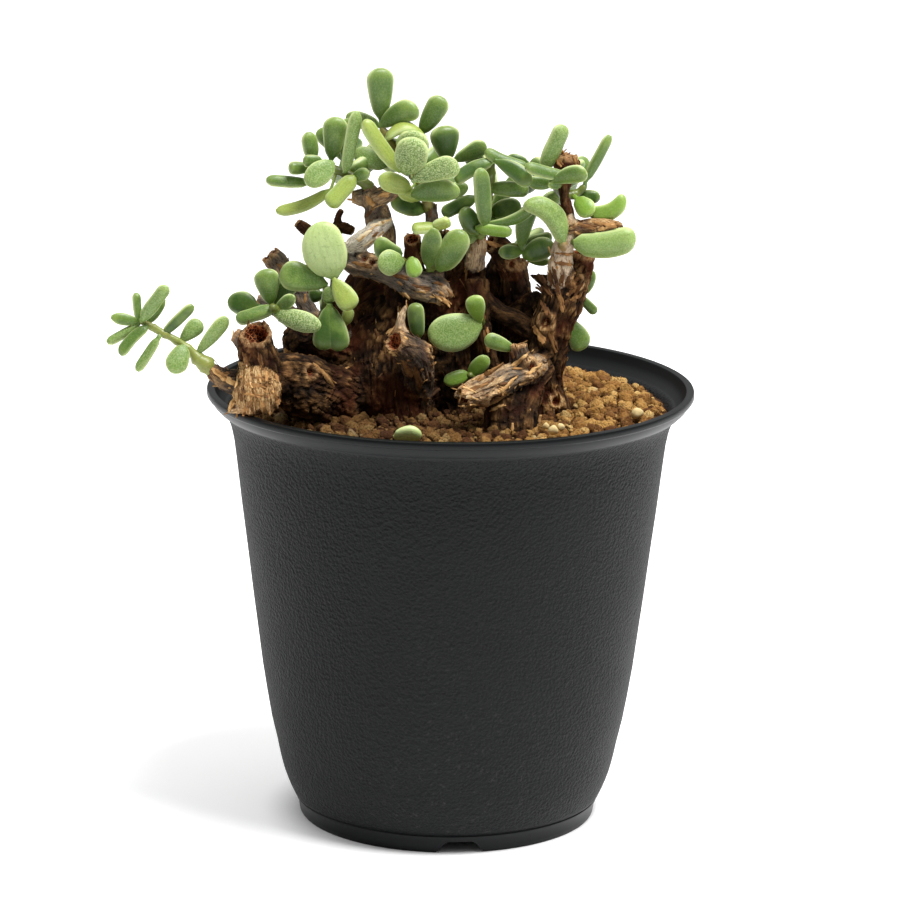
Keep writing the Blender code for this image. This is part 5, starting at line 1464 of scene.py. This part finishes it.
# %% Shoots
# A leaf: column and row of its root and of its tip, its width, how far it stands out and its tip
# leans out, all in mm, its roll in degrees and its bend in mm. A shoot: the stations of its stem,
# its leaves, a letter of the form and one of the tint for each leaf, how many leaves are added
# behind, and its tone.
Leaf = namedtuple("Leaf", "column row tip_column tip_row width out lean roll bend", defaults=(0, 0, 0, 0))
Shoot = namedtuple("Shoot", "stem leaves forms tints behind tone", defaults=(0, "mid"))
SHOOTS = {
    "crown": Shoot(
        [(430, 212, -1, 1.2), (424, 192, 0, 1.3), (412, 172, 1, 1.3), (396, 150, 0, 1.2),
         (382, 128, -1, 1.0)],
        [(381, 121, 380, 68, 5.9, -1, 1, 12), (380, 126, 346, 116, 3.6, -3),
         (401, 172, 364, 120, 3.4, 3, 2, 20, 0.4), (379, 127, 418, 108, 5.0, 0, 2, 0, 0.8),
         (420, 135, 443, 97, 4.9, -3), (427, 138, 385, 138, 4.6, 1, 0, 70, -2.4),
         (411, 158, 414, 131, 7.0, 1, 2), (407, 174, 415, 138, 7.2, 5, 3),
         (411, 181, 459, 165, 5.0, 6, 2, 0, 0.5), (447, 162, 444, 126, 6.3, -2, 1, 10),
         (453, 161, 486, 144, 3.9, -2, 0, 20), (411, 189, 379, 178, 4.4, 3, 3),
         (418, 200, 398, 188, 3.2, 2, 2), (411, 195, 460, 191, 5.1, 5, 2, 15, 0.6),
         (438, 197, 468, 186, 3.4, 1), (388, 166, 354, 152, 4.4, -3),
         (426, 211, 391, 201, 4.2, 0, 2, 10)],
        "sofsssrosssoooooo", "mgymmysssdmyymmgd", 3),
    "left_tuft": Shoot(
        [(371, 187, 0, 1.2), (358, 180, 1, 1.1), (344, 173, 1, 1.1), (328, 168, 1, 1.0),
         (312, 165, 1, 0.8)],
        [(313, 161, 308, 132, 3.7, -1, 0, 20), (331, 161, 337, 117, 5.3, -2),
         (345, 173, 357, 111, 2.9, 2, 1, 20), (343, 160, 350, 118, 3.8, -3),
         (308, 168, 289, 168, 2.8, 0, 2), (322, 161, 303, 161, 2.6, 2, 1),
         (334, 162, 306, 184, 5.1, 3, 3), (309, 183, 266, 180, 2.6, 0, 1, 20),
         (331, 190, 276, 212, 2.7, 2, 0, 20, 0.9), (355, 176, 328, 206, 3.8, 3, 2),
         (353, 178, 369, 172, 2.8, 2, 2)],
        "osfsffofffo", "mmgmdmgmyym", 1),
    "middle_shoot": Shoot(
        [(478, 240, 1, 1.3), (483, 226, 2, 1.3), (487, 200, 1, 1.2), (490, 178, 1, 1.2),
         (492, 162, 1, 1.0)],
        [(485, 227, 480, 168, 3.6, 3, 2, 20), (493, 161, 455, 181, 3.1, 2, 2, 15, -0.5),
         (494, 160, 531, 184, 4.0, 3, 2, 0, 0.5), (489, 188, 529, 190, 3.4, 0, 1),
         (476, 197, 442, 214, 3.0, 0, 1), (477, 235, 463, 208, 4.3, 2, 1, 20),
         (477, 238, 455, 236, 3.3, 1), (475, 228, 512, 232, 2.7, 3, 1, 20),
         (486, 223, 537, 204, 2.6, 3, 1, 20, -1.4), (490, 213, 521, 205, 4.4, -2)],
        "ffsffoofso", "mddmddmfmd", 2),
    "rear_shoot": Shoot(
        [(500, 250, -5, 1.2), (511, 248, -3, 1.1), (521, 246, -2, 1.0)],
        [(521, 250, 532, 204, 4.2, 3, 2, 20, 0.6), (522, 252, 499, 252, 3.1, 3, 2),
         (523, 257, 553, 243, 4.9, 3, 2), (524, 243, 552, 236, 2.5, 1, 0, 20),
         (526, 258, 549, 262, 2.6, 1, 0, 40)],
        "soofo", "mddmm", 1, "dark"),
    "right_shoot": Shoot(
        [(565, 182, 2, 1.2), (556, 180, 3, 1.1), (544, 176, 3, 1.1), (530, 170, 2, 1.0)],
        [(543, 171, 564, 125, 3.8, 0, 1, 20), (529, 167, 485, 151, 2.8, 1, 0, 20, 0.6),
         (528, 163, 508, 157, 2.4, -2), (570, 177, 525, 166, 2.7, 4, 2, 20, 0.3),
         (553, 184, 528, 182, 3.0, 1, 1), (551, 182, 587, 173, 4.0, 4, 3, 10, 0.5),
         (560, 186, 549, 183, 2.2, 3, 2)],
        "ffofoso", "gmdmmmm", 1),
    "thin_shoot": Shoot(
        [(566, 196, 2, 1.1), (577, 193, 1, 1.0), (585, 186, 1, 0.9)],
        [(585, 182, 610, 135, 2.3, 0, 0, 20), (579, 195, 600, 198, 3.0, -1),
         (576, 198, 592, 215, 4.2, 2, 3), (585, 212, 626, 198, 3.8, 3, 1, 0, -1.7)],
        "foof", "mdff"),
    "hooked_shoot": Shoot(
        [(563, 248, 6, 1.2), (563, 243, 8, 1.3)],
        [(564, 243, 526, 201, 4.9, 1, 1, 10, -2.3)],
        "f", "g", 0, "grey"),
    "right_leaf": Shoot(
        [(570, 240, 5, 1.1), (575, 242, 7, 1.0)],
        [(573, 244, 636, 237, 5.9, 2, 1, 10, -0.9)],
        "f", "l"),
    "front_pair": Shoot(
        [(430, 272, 4, 1.0), (431, 262, 5, 1.0), (437, 268, 5, 0.9)],
        [(428, 268, 434, 228, 4.3, 2, 2), (438, 271, 464, 231, 6.0, 2, 1),
         (436, 227, 412, 229, 2.8, 2, 1, 40), (432, 228, 450, 221, 2.8, 2, 1, 40)],
        "ooff", "mmyy", 1),
    "front_bunch": Shoot(
        [(398, 268, 6, 1.1), (397, 258, 7, 1.0), (404, 262, 8, 1.0)],
        [(402, 255, 375, 241, 4.6, 0, 1, 0, 0.8), (404, 262, 378, 263, 5.5, 3, 3),
         (411, 257, 416, 277, 3.5, 3, 2)],
        "oro", "dgf", 0, "grey"),
    "round_leaf": Shoot(
        [(334, 292, 7, 1.1), (334, 279, 9, 1.1)],
        [(335, 279, 319, 222, 9.5, 2, 1, 0, 0.6), (333, 278, 353, 309, 4.8, 3, 2)],
        "rs", "py", 0, "pale"),
    "left_cluster": Shoot(
        [(322, 326, 7, 1.3), (326, 304, 8, 1.2), (326, 287, 8, 1.1)],
        [(328, 285, 280, 272, 6.3, 2, 1), (329, 304, 322, 350, 4.8, 4, 2),
         (330, 304, 341, 351, 4.9, 4, 2), (325, 302, 334, 288, 3.4, 2, 1),
         (345, 325, 350, 308, 2.6, -1), (322, 293, 309, 297, 3.2, -3)],
        "sssooo", "mddgyd"),
    "left_lower": Shoot(
        [(292, 320, 8, 1.2), (281, 313, 12, 1.3), (272, 307, 15, 1.2)],
        [(271, 305, 265, 269, 5.3), (275, 304, 290, 281, 4.6, -1, -2),
         (258, 306, 228, 301, 5.2, -1, -2), (275, 308, 236, 320, 3.1, 3, 1, 20),
         (276, 311, 294, 296, 2.9, 3, 2), (274, 313, 321, 327, 4.4, 4, 2)],
        "ssrfoo", "mmdmms", 0, "grey"),
    "front_leaf": Shoot(
        [(481, 324, 4, 1.0), (481, 318, 6, 1.0)],
        [(482, 325, 428, 336, 8.2, 3, 3, 0, 0.4), (480, 322, 473, 296, 4.2, 3, 2)],
        "rs", "gf"),
    "small_leaf": Shoot(
        [(522, 352, 15, 0.9), (514, 349, 15, 0.9)],
        [(516, 350, 485, 338, 3.4, 1, 1)],
        "s", "m"),
    "leaf_pair": Shoot(
        [(475, 383, 3, 1.0), (470, 375, 9, 0.9)],
        [(470, 374, 444, 382, 3.3, 2, 2), (469, 376, 488, 357, 3.6, 2, 1)],
        "oo", "ff", 0, "fresh"),
    "deep_leaf": Shoot(
        [(418, 353, 7, 1.0), (417, 340, 8, 0.9)],
        [(418, 339, 415, 303, 3.5, 1)],
        "f", "d", 0, "dark"),
    "column_leaves": Shoot(
        [(572, 296, 0, 1.0), (582, 296, -1, 0.9)],
        [(583, 295, 593, 271, 2.8), (580, 297, 596, 313, 2.1)],
        "of", "mm"),
    "low_leaf": Shoot(
        [(556, 330, 4, 1.0), (567, 321, 3, 0.9)],
        [(567, 318, 583, 350, 4.7, 1, 1, 0, 0.4)],
        "s", "m"),
    "sprig": Shoot(
        [(212, 371, 21, 1.5), (205, 364, 21, 2.0), (197, 358, 21, 1.5), (190, 350, 21, 1.0),
         (175, 340, 21, 0.9), (163, 333, 21, 0.9), (150, 326, 21, 0.85), (140, 321, 21, 0.7)],
        [(139, 322, 111, 317, 2.6, 0, 1), (138, 319, 136, 293, 1.8, 0, -2, 20),
         (141, 321, 167, 286, 2.9, 1, 2, 10), (147, 324, 164, 299, 2.4, -3, -1),
         (138, 325, 107, 343, 2.0, 0, 1, 20), (148, 326, 120, 355, 2.5, 1, 2, 15, -0.5),
         (159, 337, 137, 371, 2.1, 1, 0, 20), (163, 334, 193, 305, 2.3, 0, 0, 20),
         (180, 342, 201, 321, 3.7, -2, -2), (185, 345, 172, 373, 4.7, 2, 3),
         (196, 355, 227, 317, 3.3, 0, 0, 15)],
        "offoffffsos", "mmgmgmgdggg", 0, "grey"),
}
BACK_SHOOTS = {
    "back_top": ((431, 215, -1), (416, 165, -13), 5),
    "back_tuft": ((371, 193, -1), (344, 158, -11), 4),
    "back_right": ((486, 215, 1), (500, 190, -12), 4),
    "back_edge": ((565, 195, 2), (553, 186, -11), 4),
    "back_middle": ((402, 303, -18), (410, 318, -31), 5),
    "back_low": ((478, 352, -20), (466, 338, -32), 5),
    "back_left": ((308, 338, -22), (336, 328, -29), 5),
}

# A leaf's form: how broad its foot is, where it is first as broad as it gets, and where its blunt
# end starts (shares of its breadth and its length), and its thickness as a share of its width.
FORMS = {
    "f": (0.62, 0.45, 0.80, 0.72),    # a finger
    "s": (0.24, 0.74, 0.74, 0.52),    # a spoon, broadest near its end
    "o": (0.40, 0.52, 0.58, 0.52),    # an oval
    "r": (0.34, 0.50, 0.50, 0.42),    # nearly round
}
# Painted shade: 'd' is the dark tint of leaves that sit in shade. Painted light: 'y' is the yellow-green of
# leaves that light shines through
SCREEN_TINTS = {
    "m": (70, 98, 30), "g": (99, 126, 56), "d": (50, 77, 20), "y": (142, 156, 68),
    "p": (168, 187, 122), "f": (110, 143, 44), "s": (96, 120, 58), "l": (120, 146, 74),
}
TINTS = {letter: colour(*screen) for letter, screen in SCREEN_TINTS.items()}
# How powdery each tint's leaves are
SPECKS = {"s": 1.0, "g": 0.45, "p": 0.35, "y": 0.2, "m": 0.15, "f": 0.15, "d": 0.05, "l": 0.3}
STEM_TINTS = {"sprig": colour(126, 132, 64), "crown": colour(118, 104, 54),
              "hooked_shoot": colour(140, 116, 76)}
STEM_TINT = colour(92, 100, 44)
print(sum(len(shoot.leaves) for shoot in SHOOTS.values()), "leaves in", len(SHOOTS), "shoots")

# %% [markdown]
# A leaf is a stack of ovals along its own line. The first ones are the short foot that grows
# from the stem. The ovals then swell by the rule of the leaf's form, a finger, a spoon, an oval or
# nearly round, and close to a blunt end. A shallow groove, a little cupping and a slight wave in
# the edge keep them from looking cast from one mould.

# %% Leaf shape
LEAF_SIDES = 20
LEAF_ROWS = 18
STEM_SIDES = 12
FOOT = 0.42 * MM             # half the thickness of a leaf's foot
THICK_LEAST, THICK_MOST = 1.9 * MM, 3.8 * MM


def leaf_breadth(along, form):
    """The breadth of a leaf at a share of its length, where 1 is its widest."""
    foot, full, shoulder, _ = FORMS[form]
    rise = 1.0 - (1.0 - foot) * max(0.0, 1.0 - along / full) ** 1.8
    fall = max(0.0, along - shoulder) / (1.0 - shoulder)
    base = 0.45 + 0.55 * min(1.0, along / 0.14)
    return base * rise * max(0.0, 1.0 - fall ** 2.3) ** 0.5


def leaf_body(root, tip, width, roll, bend, form, origin, seed):
    """Points, faces and values of one leaf."""
    draw = random.Random(seed)
    length = tip - root
    along = length.normalized()
    to_eye = (EYE - root).normalized()
    face = Matrix.Rotation(math.radians(roll), 3, along) @ (to_eye - along * to_eye.dot(along)).normalized()
    across = along.cross(face)
    lift = to_eye.cross(along)
    thick = min(max(FORMS[form][3] * width, THICK_LEAST), THICK_MOST)
    groove = draw.choice((0.0, 0.05, 0.14))
    cup = draw.uniform(-0.05, 0.06)
    wave = draw.uniform(0.5, 1.0)
    phase = draw.uniform(0, 6)
    points = []
    values = {"along": [], "rim": [], "side": [], "span": []}
    shares = [0.5 - 0.5 * math.cos(math.pi * n / (LEAF_ROWS + 1)) for n in range(1, LEAF_ROWS + 1)]
    stalk = origin.lerp(root + length * shares[0], 0.5)
    rows = [(origin, 0.0, 0.0), (stalk, 0.0, 0.0)]
    for share in shares:
        sag = bend * MM * math.sin(math.pi * share)
        rows.append((root + length * share + lift * sag, leaf_breadth(share, form), share))
    for middle, half, share in rows:
        wide = max(width / 2 * half, FOOT * 1.2)
        deep = max(thick / 2 * half ** 0.8, FOOT)
        for n in range(LEAF_SIDES):
            turn = math.tau * n / LEAF_SIDES
            x, y = math.cos(turn), math.sin(turn)
            x_shaped = math.copysign(abs(x) ** 0.92, x)
            y_shaped = math.copysign(abs(y) ** 0.85, y)
            dent = 0.0
            if y > 0:
                dent = groove * math.exp(-(x / 0.30) ** 2) * math.sin(math.pi * min(share * 1.1, 1))
            ripple = 1 + 0.035 * wave * math.sin(phase + 9 * share + 3 * x) * abs(x)
            spot = (across * (x_shaped * wide * ripple)
                    + face * (deep * (y_shaped * (1 - dent) + cup * 4 * x * x * half)))
            points.append(middle + spot)
            values["along"].append(share)
            # How near a point is to the leaf's outline as the eye sees it, where the skin paints a highlight
            values["rim"].append(abs(x) ** 9 * min(1.0, half * 1.3))
            values["side"].append(0.5 + 0.5 * y)
            values["span"].append(x)
    points += [origin, tip]
    for key, ends in {"along": (0.0, 1.0), "rim": (0.0, 0.7), "side": (0.5, 0.5), "span": (0.0, 0.0)}.items():
        values[key] += ends
    return points, ringed(len(rows), LEAF_SIDES), values


print("halfway along, a spoon has", round(leaf_breadth(0.5, "s"), 2), "of its full breadth")

# %% [markdown]
# The stem is a tube along its stations. Every few millimetres a low ring goes round it, where an
# old leaf fell off.

# %% Stem shape
RING_GAP = 2.6               # mm from one ring to the next


def stem_body(path, radii, seed):
    """Points, faces and values of a stem with rings of old leaf scars."""
    stations = [tuple(point) for point in path]
    ends = [tuple(path[0] * 2 - path[1])] + stations + [tuple(path[-1] * 2 - path[-2])]
    ends = [np.array(point) for point in ends]
    sizes = [radii[0]] + list(radii[:-1]) + [radii[-1] * 0.75] * 2
    line = []
    for n in range(1, len(ends) - 2):
        steps = max(3, int(np.linalg.norm(ends[n + 1] - ends[n]) / (0.35 * MM)))
        for share in np.arange(steps) / steps:
            line.append((catmull(ends[n - 1:n + 3], share), catmull(sizes[n - 1:n + 3], share)))
    line.append((ends[-2], radii[-1] * 0.75))
    spots = np.array([spot for spot, size in line])
    frames = frames_along(spots)
    points = []
    for n, ((_, side, cross), (spot, size)) in enumerate(zip(frames, line)):
        walked = n * 0.35
        node = 1 + 0.16 * math.exp(-((walked % RING_GAP - RING_GAP / 2) / 0.35) ** 2)
        for turn in np.linspace(0, math.tau, STEM_SIDES, endpoint=False):
            out = side * math.cos(turn) + cross * math.sin(turn)
            lump = 1 + 0.16 * noise.noise(Vector(spot + out * size) / MM * 0.9 + Vector((seed, 0, 0)))
            points.append(Vector(spot + out * size * node * lump * 0.92))
    points.append(Vector(spots[0] - frames[0][0] * 0.3 * MM))
    points.append(Vector(spots[-1] + frames[-1][0] * 0.5 * MM))
    count = len(points)
    values = {"along": [0.3] * count, "rim": [0.0] * count, "side": [0.5] * count, "span": [0.0] * count}
    return points, ringed(len(line), STEM_SIDES), values


print(STEM_SIDES, "sides round a stem")

# %% [markdown]
# A leaf of the picture has its depth from the stem behind it. The leaves on the far side show in
# no picture, so a rule sets them: each turns by the golden angle from the one before, as leaves
# do on a real stem.

# %% Leaf places
GOLDEN_TURN = 137.5          # degrees from one leaf to the next round a stem


def nearest_on(path, point):
    """The point of a path that is nearest to a point."""
    best = path[0]
    for start, end in zip(path, path[1:]):
        run = end - start
        share = max(0.0, min(1.0, (point - start).dot(run) / run.length_squared))
        spot = start + run * share
        if (spot - point).length < (best - point).length:
            best = spot
    return best


def guessed_leaf(draw, spot, aim, widths, roll, form):
    """A leaf that no picture shows, from a spot and a direction, its sizes drawn."""
    size = draw.uniform(8.5, 11.5) * MM
    return (spot + aim * 0.8 * MM, spot + aim * size, draw.uniform(*widths) * MM, draw.uniform(-roll, roll),
            draw.uniform(-0.6, 0.6), form)


def leaf_places(name, shoot):
    """Root, tip, width, roll, bend and form of every leaf of a shoot, the far ones by rule."""
    path = [seen(column, row, depth) for column, row, depth, _ in shoot.stem]
    places = []
    for numbers, form in zip(shoot.leaves, shoot.forms, strict=True):
        leaf = Leaf(*numbers)
        flat = seen(leaf.column, leaf.row, shoot.stem[0][2])
        depth = -nearest_on(path, flat).y / MM + leaf.out
        root = seen(leaf.column, leaf.row, depth)
        tip = seen(leaf.tip_column, leaf.tip_row, depth + leaf.lean)
        places.append((root, tip, leaf.width * MM, leaf.roll, leaf.bend, form))
    draw = random.Random(name)
    for n in range(shoot.behind):
        share = (n + 0.5) / shoot.behind * (len(path) - 1)
        start = path[int(share)].lerp(path[int(share) + 1], share % 1.0)
        turn = math.radians(n * GOLDEN_TURN)
        aim = Vector((math.cos(turn), 0.9 + 0.5 * draw.random(), 0.55 * math.sin(turn) + 0.25)).normalized()
        places.append(guessed_leaf(draw, start, aim, (4.0, 5.2), 60, "o"))
    return path, places


def back_shoot(name, start, end, count):
    """A shoot on the far side: a short stem with leaves set round it in turn."""
    draw = random.Random(name)
    first = seen(*start)
    last = seen(*end)
    along = (last - first).normalized()
    side = along.orthogonal().normalized()
    cross = along.cross(side)
    places = []
    for n in range(count):
        share = 0.35 + 0.65 * n / (count - 1)
        turn = math.radians(n * GOLDEN_TURN)
        aim = side * math.cos(turn) + cross * math.sin(turn) + along * (0.25 + 0.7 * share)
        if aim.y < 0:
            aim.y *= 0.35
        if aim.z < 0:
            aim.z *= 0.45
        aim.normalize()
        places.append(guessed_leaf(draw, first.lerp(last, share), aim, (4.2, 5.6), 50, "so"[n % 2]))
    return [first, last], places


print("the crown's stem has", len(leaf_places("crown", SHOOTS["crown"])[1]), "leaves")

# %% [markdown]
# The leaf skin is a waxy green. Faint stripes run along it, its rim carries a painted highlight, a pale line
# along the leaf's outline as the eye sees it, and its foot is a little yellower. The powdery leaves also
# carry fine pale specks with a few dark pits between them. A soft bump keeps the highlights broad.

# %% Leaf skin


def leaf_skin(nodes):
    tint = nodes.value("tint", "Color")
    along, rim, side, span, speck = (nodes.value(key) for key in ("along", "rim", "side", "span", "speck"))
    # Each leaf has its own seed, so that no two carry the same stripes
    line = nodes.add("ShaderNodeCombineXYZ", sockets={
        "X": span * 2.6 + nodes.value("seed") * 9.0, "Y": along * 1.1, "Z": side})
    stripes = nodes.cloud(2.0, 2.0, 0.5, line)
    broad = nodes.cloud(170.0, 3.0)
    dots = nodes.cloud(3400.0, 2.0, 0.6)
    pits = nodes.cloud(1700.0, 2.0, 0.6)
    base = nodes.blend(nodes.step(stripes, 0.40, 0.68) * (0.26 - speck * 0.18), tint, (58, 98, 22))
    base = nodes.blend(nodes.step(broad, 0.46, 0.72) * 0.35, base, (140, 164, 76))
    base = nodes.blend(nodes.step(along, 0.34, 0.0) * 0.30, base, (96, 124, 38))
    base = nodes.blend(nodes.step(along, 0.72, 1.0) * 0.30, base, (150, 170, 92))
    powder = nodes.step(dots, 0.42, 0.62) * speck
    base = nodes.blend(powder * 0.50, base, (200, 212, 158))
    base = nodes.blend(nodes.step(pits, 0.42, 0.34) * (speck * 0.5 + 0.06), base, (64, 96, 40))
    # Painted highlight: a pale line along the leaf's outline as the eye sees it
    base = nodes.blend(rim * 0.95, base, (198, 211, 148))
    rough = 0.36 + speck * 0.25
    return {"Base Color": base, "Roughness": rough, "Normal": nodes.bump(broad + dots * 0.15, 0.0006, 0.5)}


LEAF_SKIN = finish("leaf skin", leaf_skin, subsurface_weight=0.10, subsurface_scale=0.001,
                   specular_ior_level=0.38)

# %% Grow the shoots


def make_foliage(name, path, radii, places, tints, stem_tint):
    """One object: the stem and all the leaves of a shoot."""
    points, faces, values, colours = [], [], {}, []
    bodies = []
    if path:
        bodies.append((stem_body(path, radii, len(name)), stem_tint, 0.0))
    for n, (root, *rest) in enumerate(places):
        origin = nearest_on(path, root) if path else root
        letter = tints[n % len(tints)]
        bodies.append((leaf_body(root, *rest, origin, f"{name}{n}"), TINTS[letter], SPECKS[letter]))
    for n, ((body, sides, marks), tint, speck) in enumerate(bodies):
        add_body(points, faces, body, sides)
        marks["speck"] = [speck] * len(body)
        marks["seed"] = [(n * 0.618) % 1.0] * len(body)
        for key, numbers in marks.items():
            values.setdefault(key, []).extend(numbers)
        colours += [tint] * len(body)
    return solid(name + "_leaves", points, faces, LEAF_SKIN, values, {"tint": colours})


for name, shoot in SHOOTS.items():
    path, places = leaf_places(name, shoot)
    radii = [station[3] * MM for station in shoot.stem]
    tints = shoot.tints + "mdg"
    leaves = make_foliage(name, path, radii, places, tints, STEM_TINTS.get(name, STEM_TINT))
    settle(leaves, "leaf_" + shoot.tone, name)

for name, (start, end, count) in BACK_SHOOTS.items():
    path, places = back_shoot(name, start, end, count)
    leaves = make_foliage("shoot_" + name, path, [1.2 * MM, 0.8 * MM], places, "mgmdy", STEM_TINT)
    settle(leaves, "leaf_mid", "shoot_" + name)

fallen = make_foliage("fallen", None, None,
                      [(seen(394, 437, 35.5), seen(421, 433, 37), 4.6 * MM, 50, 0, "o")], "p", STEM_TINT)
settle(fallen, "leaf_pale", "fallen_leaf")

# %% [markdown]
# ## Loose pebbles
#
# A few pale, rounder pebbles lie on the granules at the front. They are what the eye catches on
# the soil, so they are placed one by one.

# %% Pebbles


def pebble_finish(nodes):
    coarse = nodes.cloud(700.0, 5.0, 0.6)
    base = nodes.blend(coarse, (176, 150, 96), (214, 194, 146))
    return {"Base Color": base, "Normal": nodes.bump(coarse, 0.0003, 0.6)}


PEBBLES = finish("pale pebbles", pebble_finish, roughness=0.9, specular_ior_level=0.25)


# Column, row, depth and radius in mm
PEBBLE_PLACES = ((637, 413, 12, 1.4), (553, 430, 30, 1.2), (561, 427, 29, 0.9), (546, 426, 29, 0.8))


def make_pebbles():
    """All the pale pebbles as one piece."""
    corners, faces = [], []
    for n, (column, row, depth, radius) in enumerate(PEBBLE_PLACES):
        middle = seen(column, row, depth)
        ball = lumpy("ball", radius * MM, 0.85, 20 + n)
        body = [middle + corner.co for corner in ball.data.vertices]
        add_body(corners, faces, body, [tuple(face.vertices) for face in ball.data.polygons])
        bpy.data.objects.remove(ball, do_unlink=True)
    return solid("pale_pebbles", corners, faces, PEBBLES)


pebbles = make_pebbles()
settle(pebbles, "clay_soil")

# %% [markdown]
# ## Studio
#
# The picture is a cut-out on white, lit softly from above and the front. A white floor and a
# white world give that, and one large area light adds the soft modelling on the leaves. The floor
# glows a little, but not under the pot, so the shadow round the pot stays faint and the foot
# dark. The Standard view keeps the whites white.

# %% Floor and light


FLOOR_GLOW = 0.35
ROOM_COLOUR = (1.0, 1.0, 1.0, 1.0)


def make_floor():
    """A white floor, which is stage and no part of the object."""
    corners = [(-3, -3, 0), (3, -3, 0), (3, 3, 0), (-3, 3, 0)]
    material = bpy.data.materials.new("white floor")
    material.use_nodes = True
    shader = material.node_tree.nodes["Principled BSDF"]
    shader.inputs["Base Color"].default_value = (0.95, 0.95, 0.95, 1)
    shader.inputs["Roughness"].default_value = 0.9
    nodes = Nodes(material.node_tree)
    beyond_foot = nodes.step(nodes.distance(nodes.place(), (POT_X, 0.0, 0.0)), 0.030, 0.042)
    material.node_tree.links.new(beyond_foot.socket, shader.inputs["Emission Color"])
    shader.inputs["Emission Strength"].default_value = FLOOR_GLOW
    floor = solid("floor", corners, [(0, 1, 2, 3)], material)


def area_light(name, place, target, size, watts):
    """A soft square light that looks at a point."""
    light = bpy.data.lights.new(name, "AREA")
    light.shape = "SQUARE"
    light.size = size
    light.energy = watts
    lamp = bpy.data.objects.new(name, light)
    aim = Vector(target) - Vector(place)
    lamp.matrix_world = Matrix.Translation(place) @ aim.to_track_quat("-Z", "Y").to_matrix().to_4x4()
    bpy.context.scene.collection.objects.link(lamp)


make_floor()
world = bpy.data.worlds.new("white room")
world.use_nodes = True
backdrop = world.node_tree.nodes["Background"]
backdrop.inputs["Color"].default_value = ROOM_COLOUR
air = Nodes(world.node_tree)
way = air.add("ShaderNodeTexCoord", out="Generated")
glow = air.step(air.axis(way, "Z"), 0.0, 0.8, 0.22, 1.1) * air.step(air.axis(way, "Y"), -0.9, 0.3, 0.35, 1.0)
world.node_tree.links.new(glow.socket, backdrop.inputs["Strength"])
scene = bpy.context.scene
scene.world = world
area_light("key", (0.30, -0.22, 0.95), (0.0, 0.0, 0.12), 0.40, 15.0)
scene.view_settings.view_transform = "Standard"
scene.view_settings.look = "None"
scene.cycles.use_denoising = True
print(len(bpy.data.lights), "light in a", world.name)

# %% [markdown]
# ## Last step
#
# The view layer is brought up to date.

# %% Update the scene
bpy.context.view_layer.update()
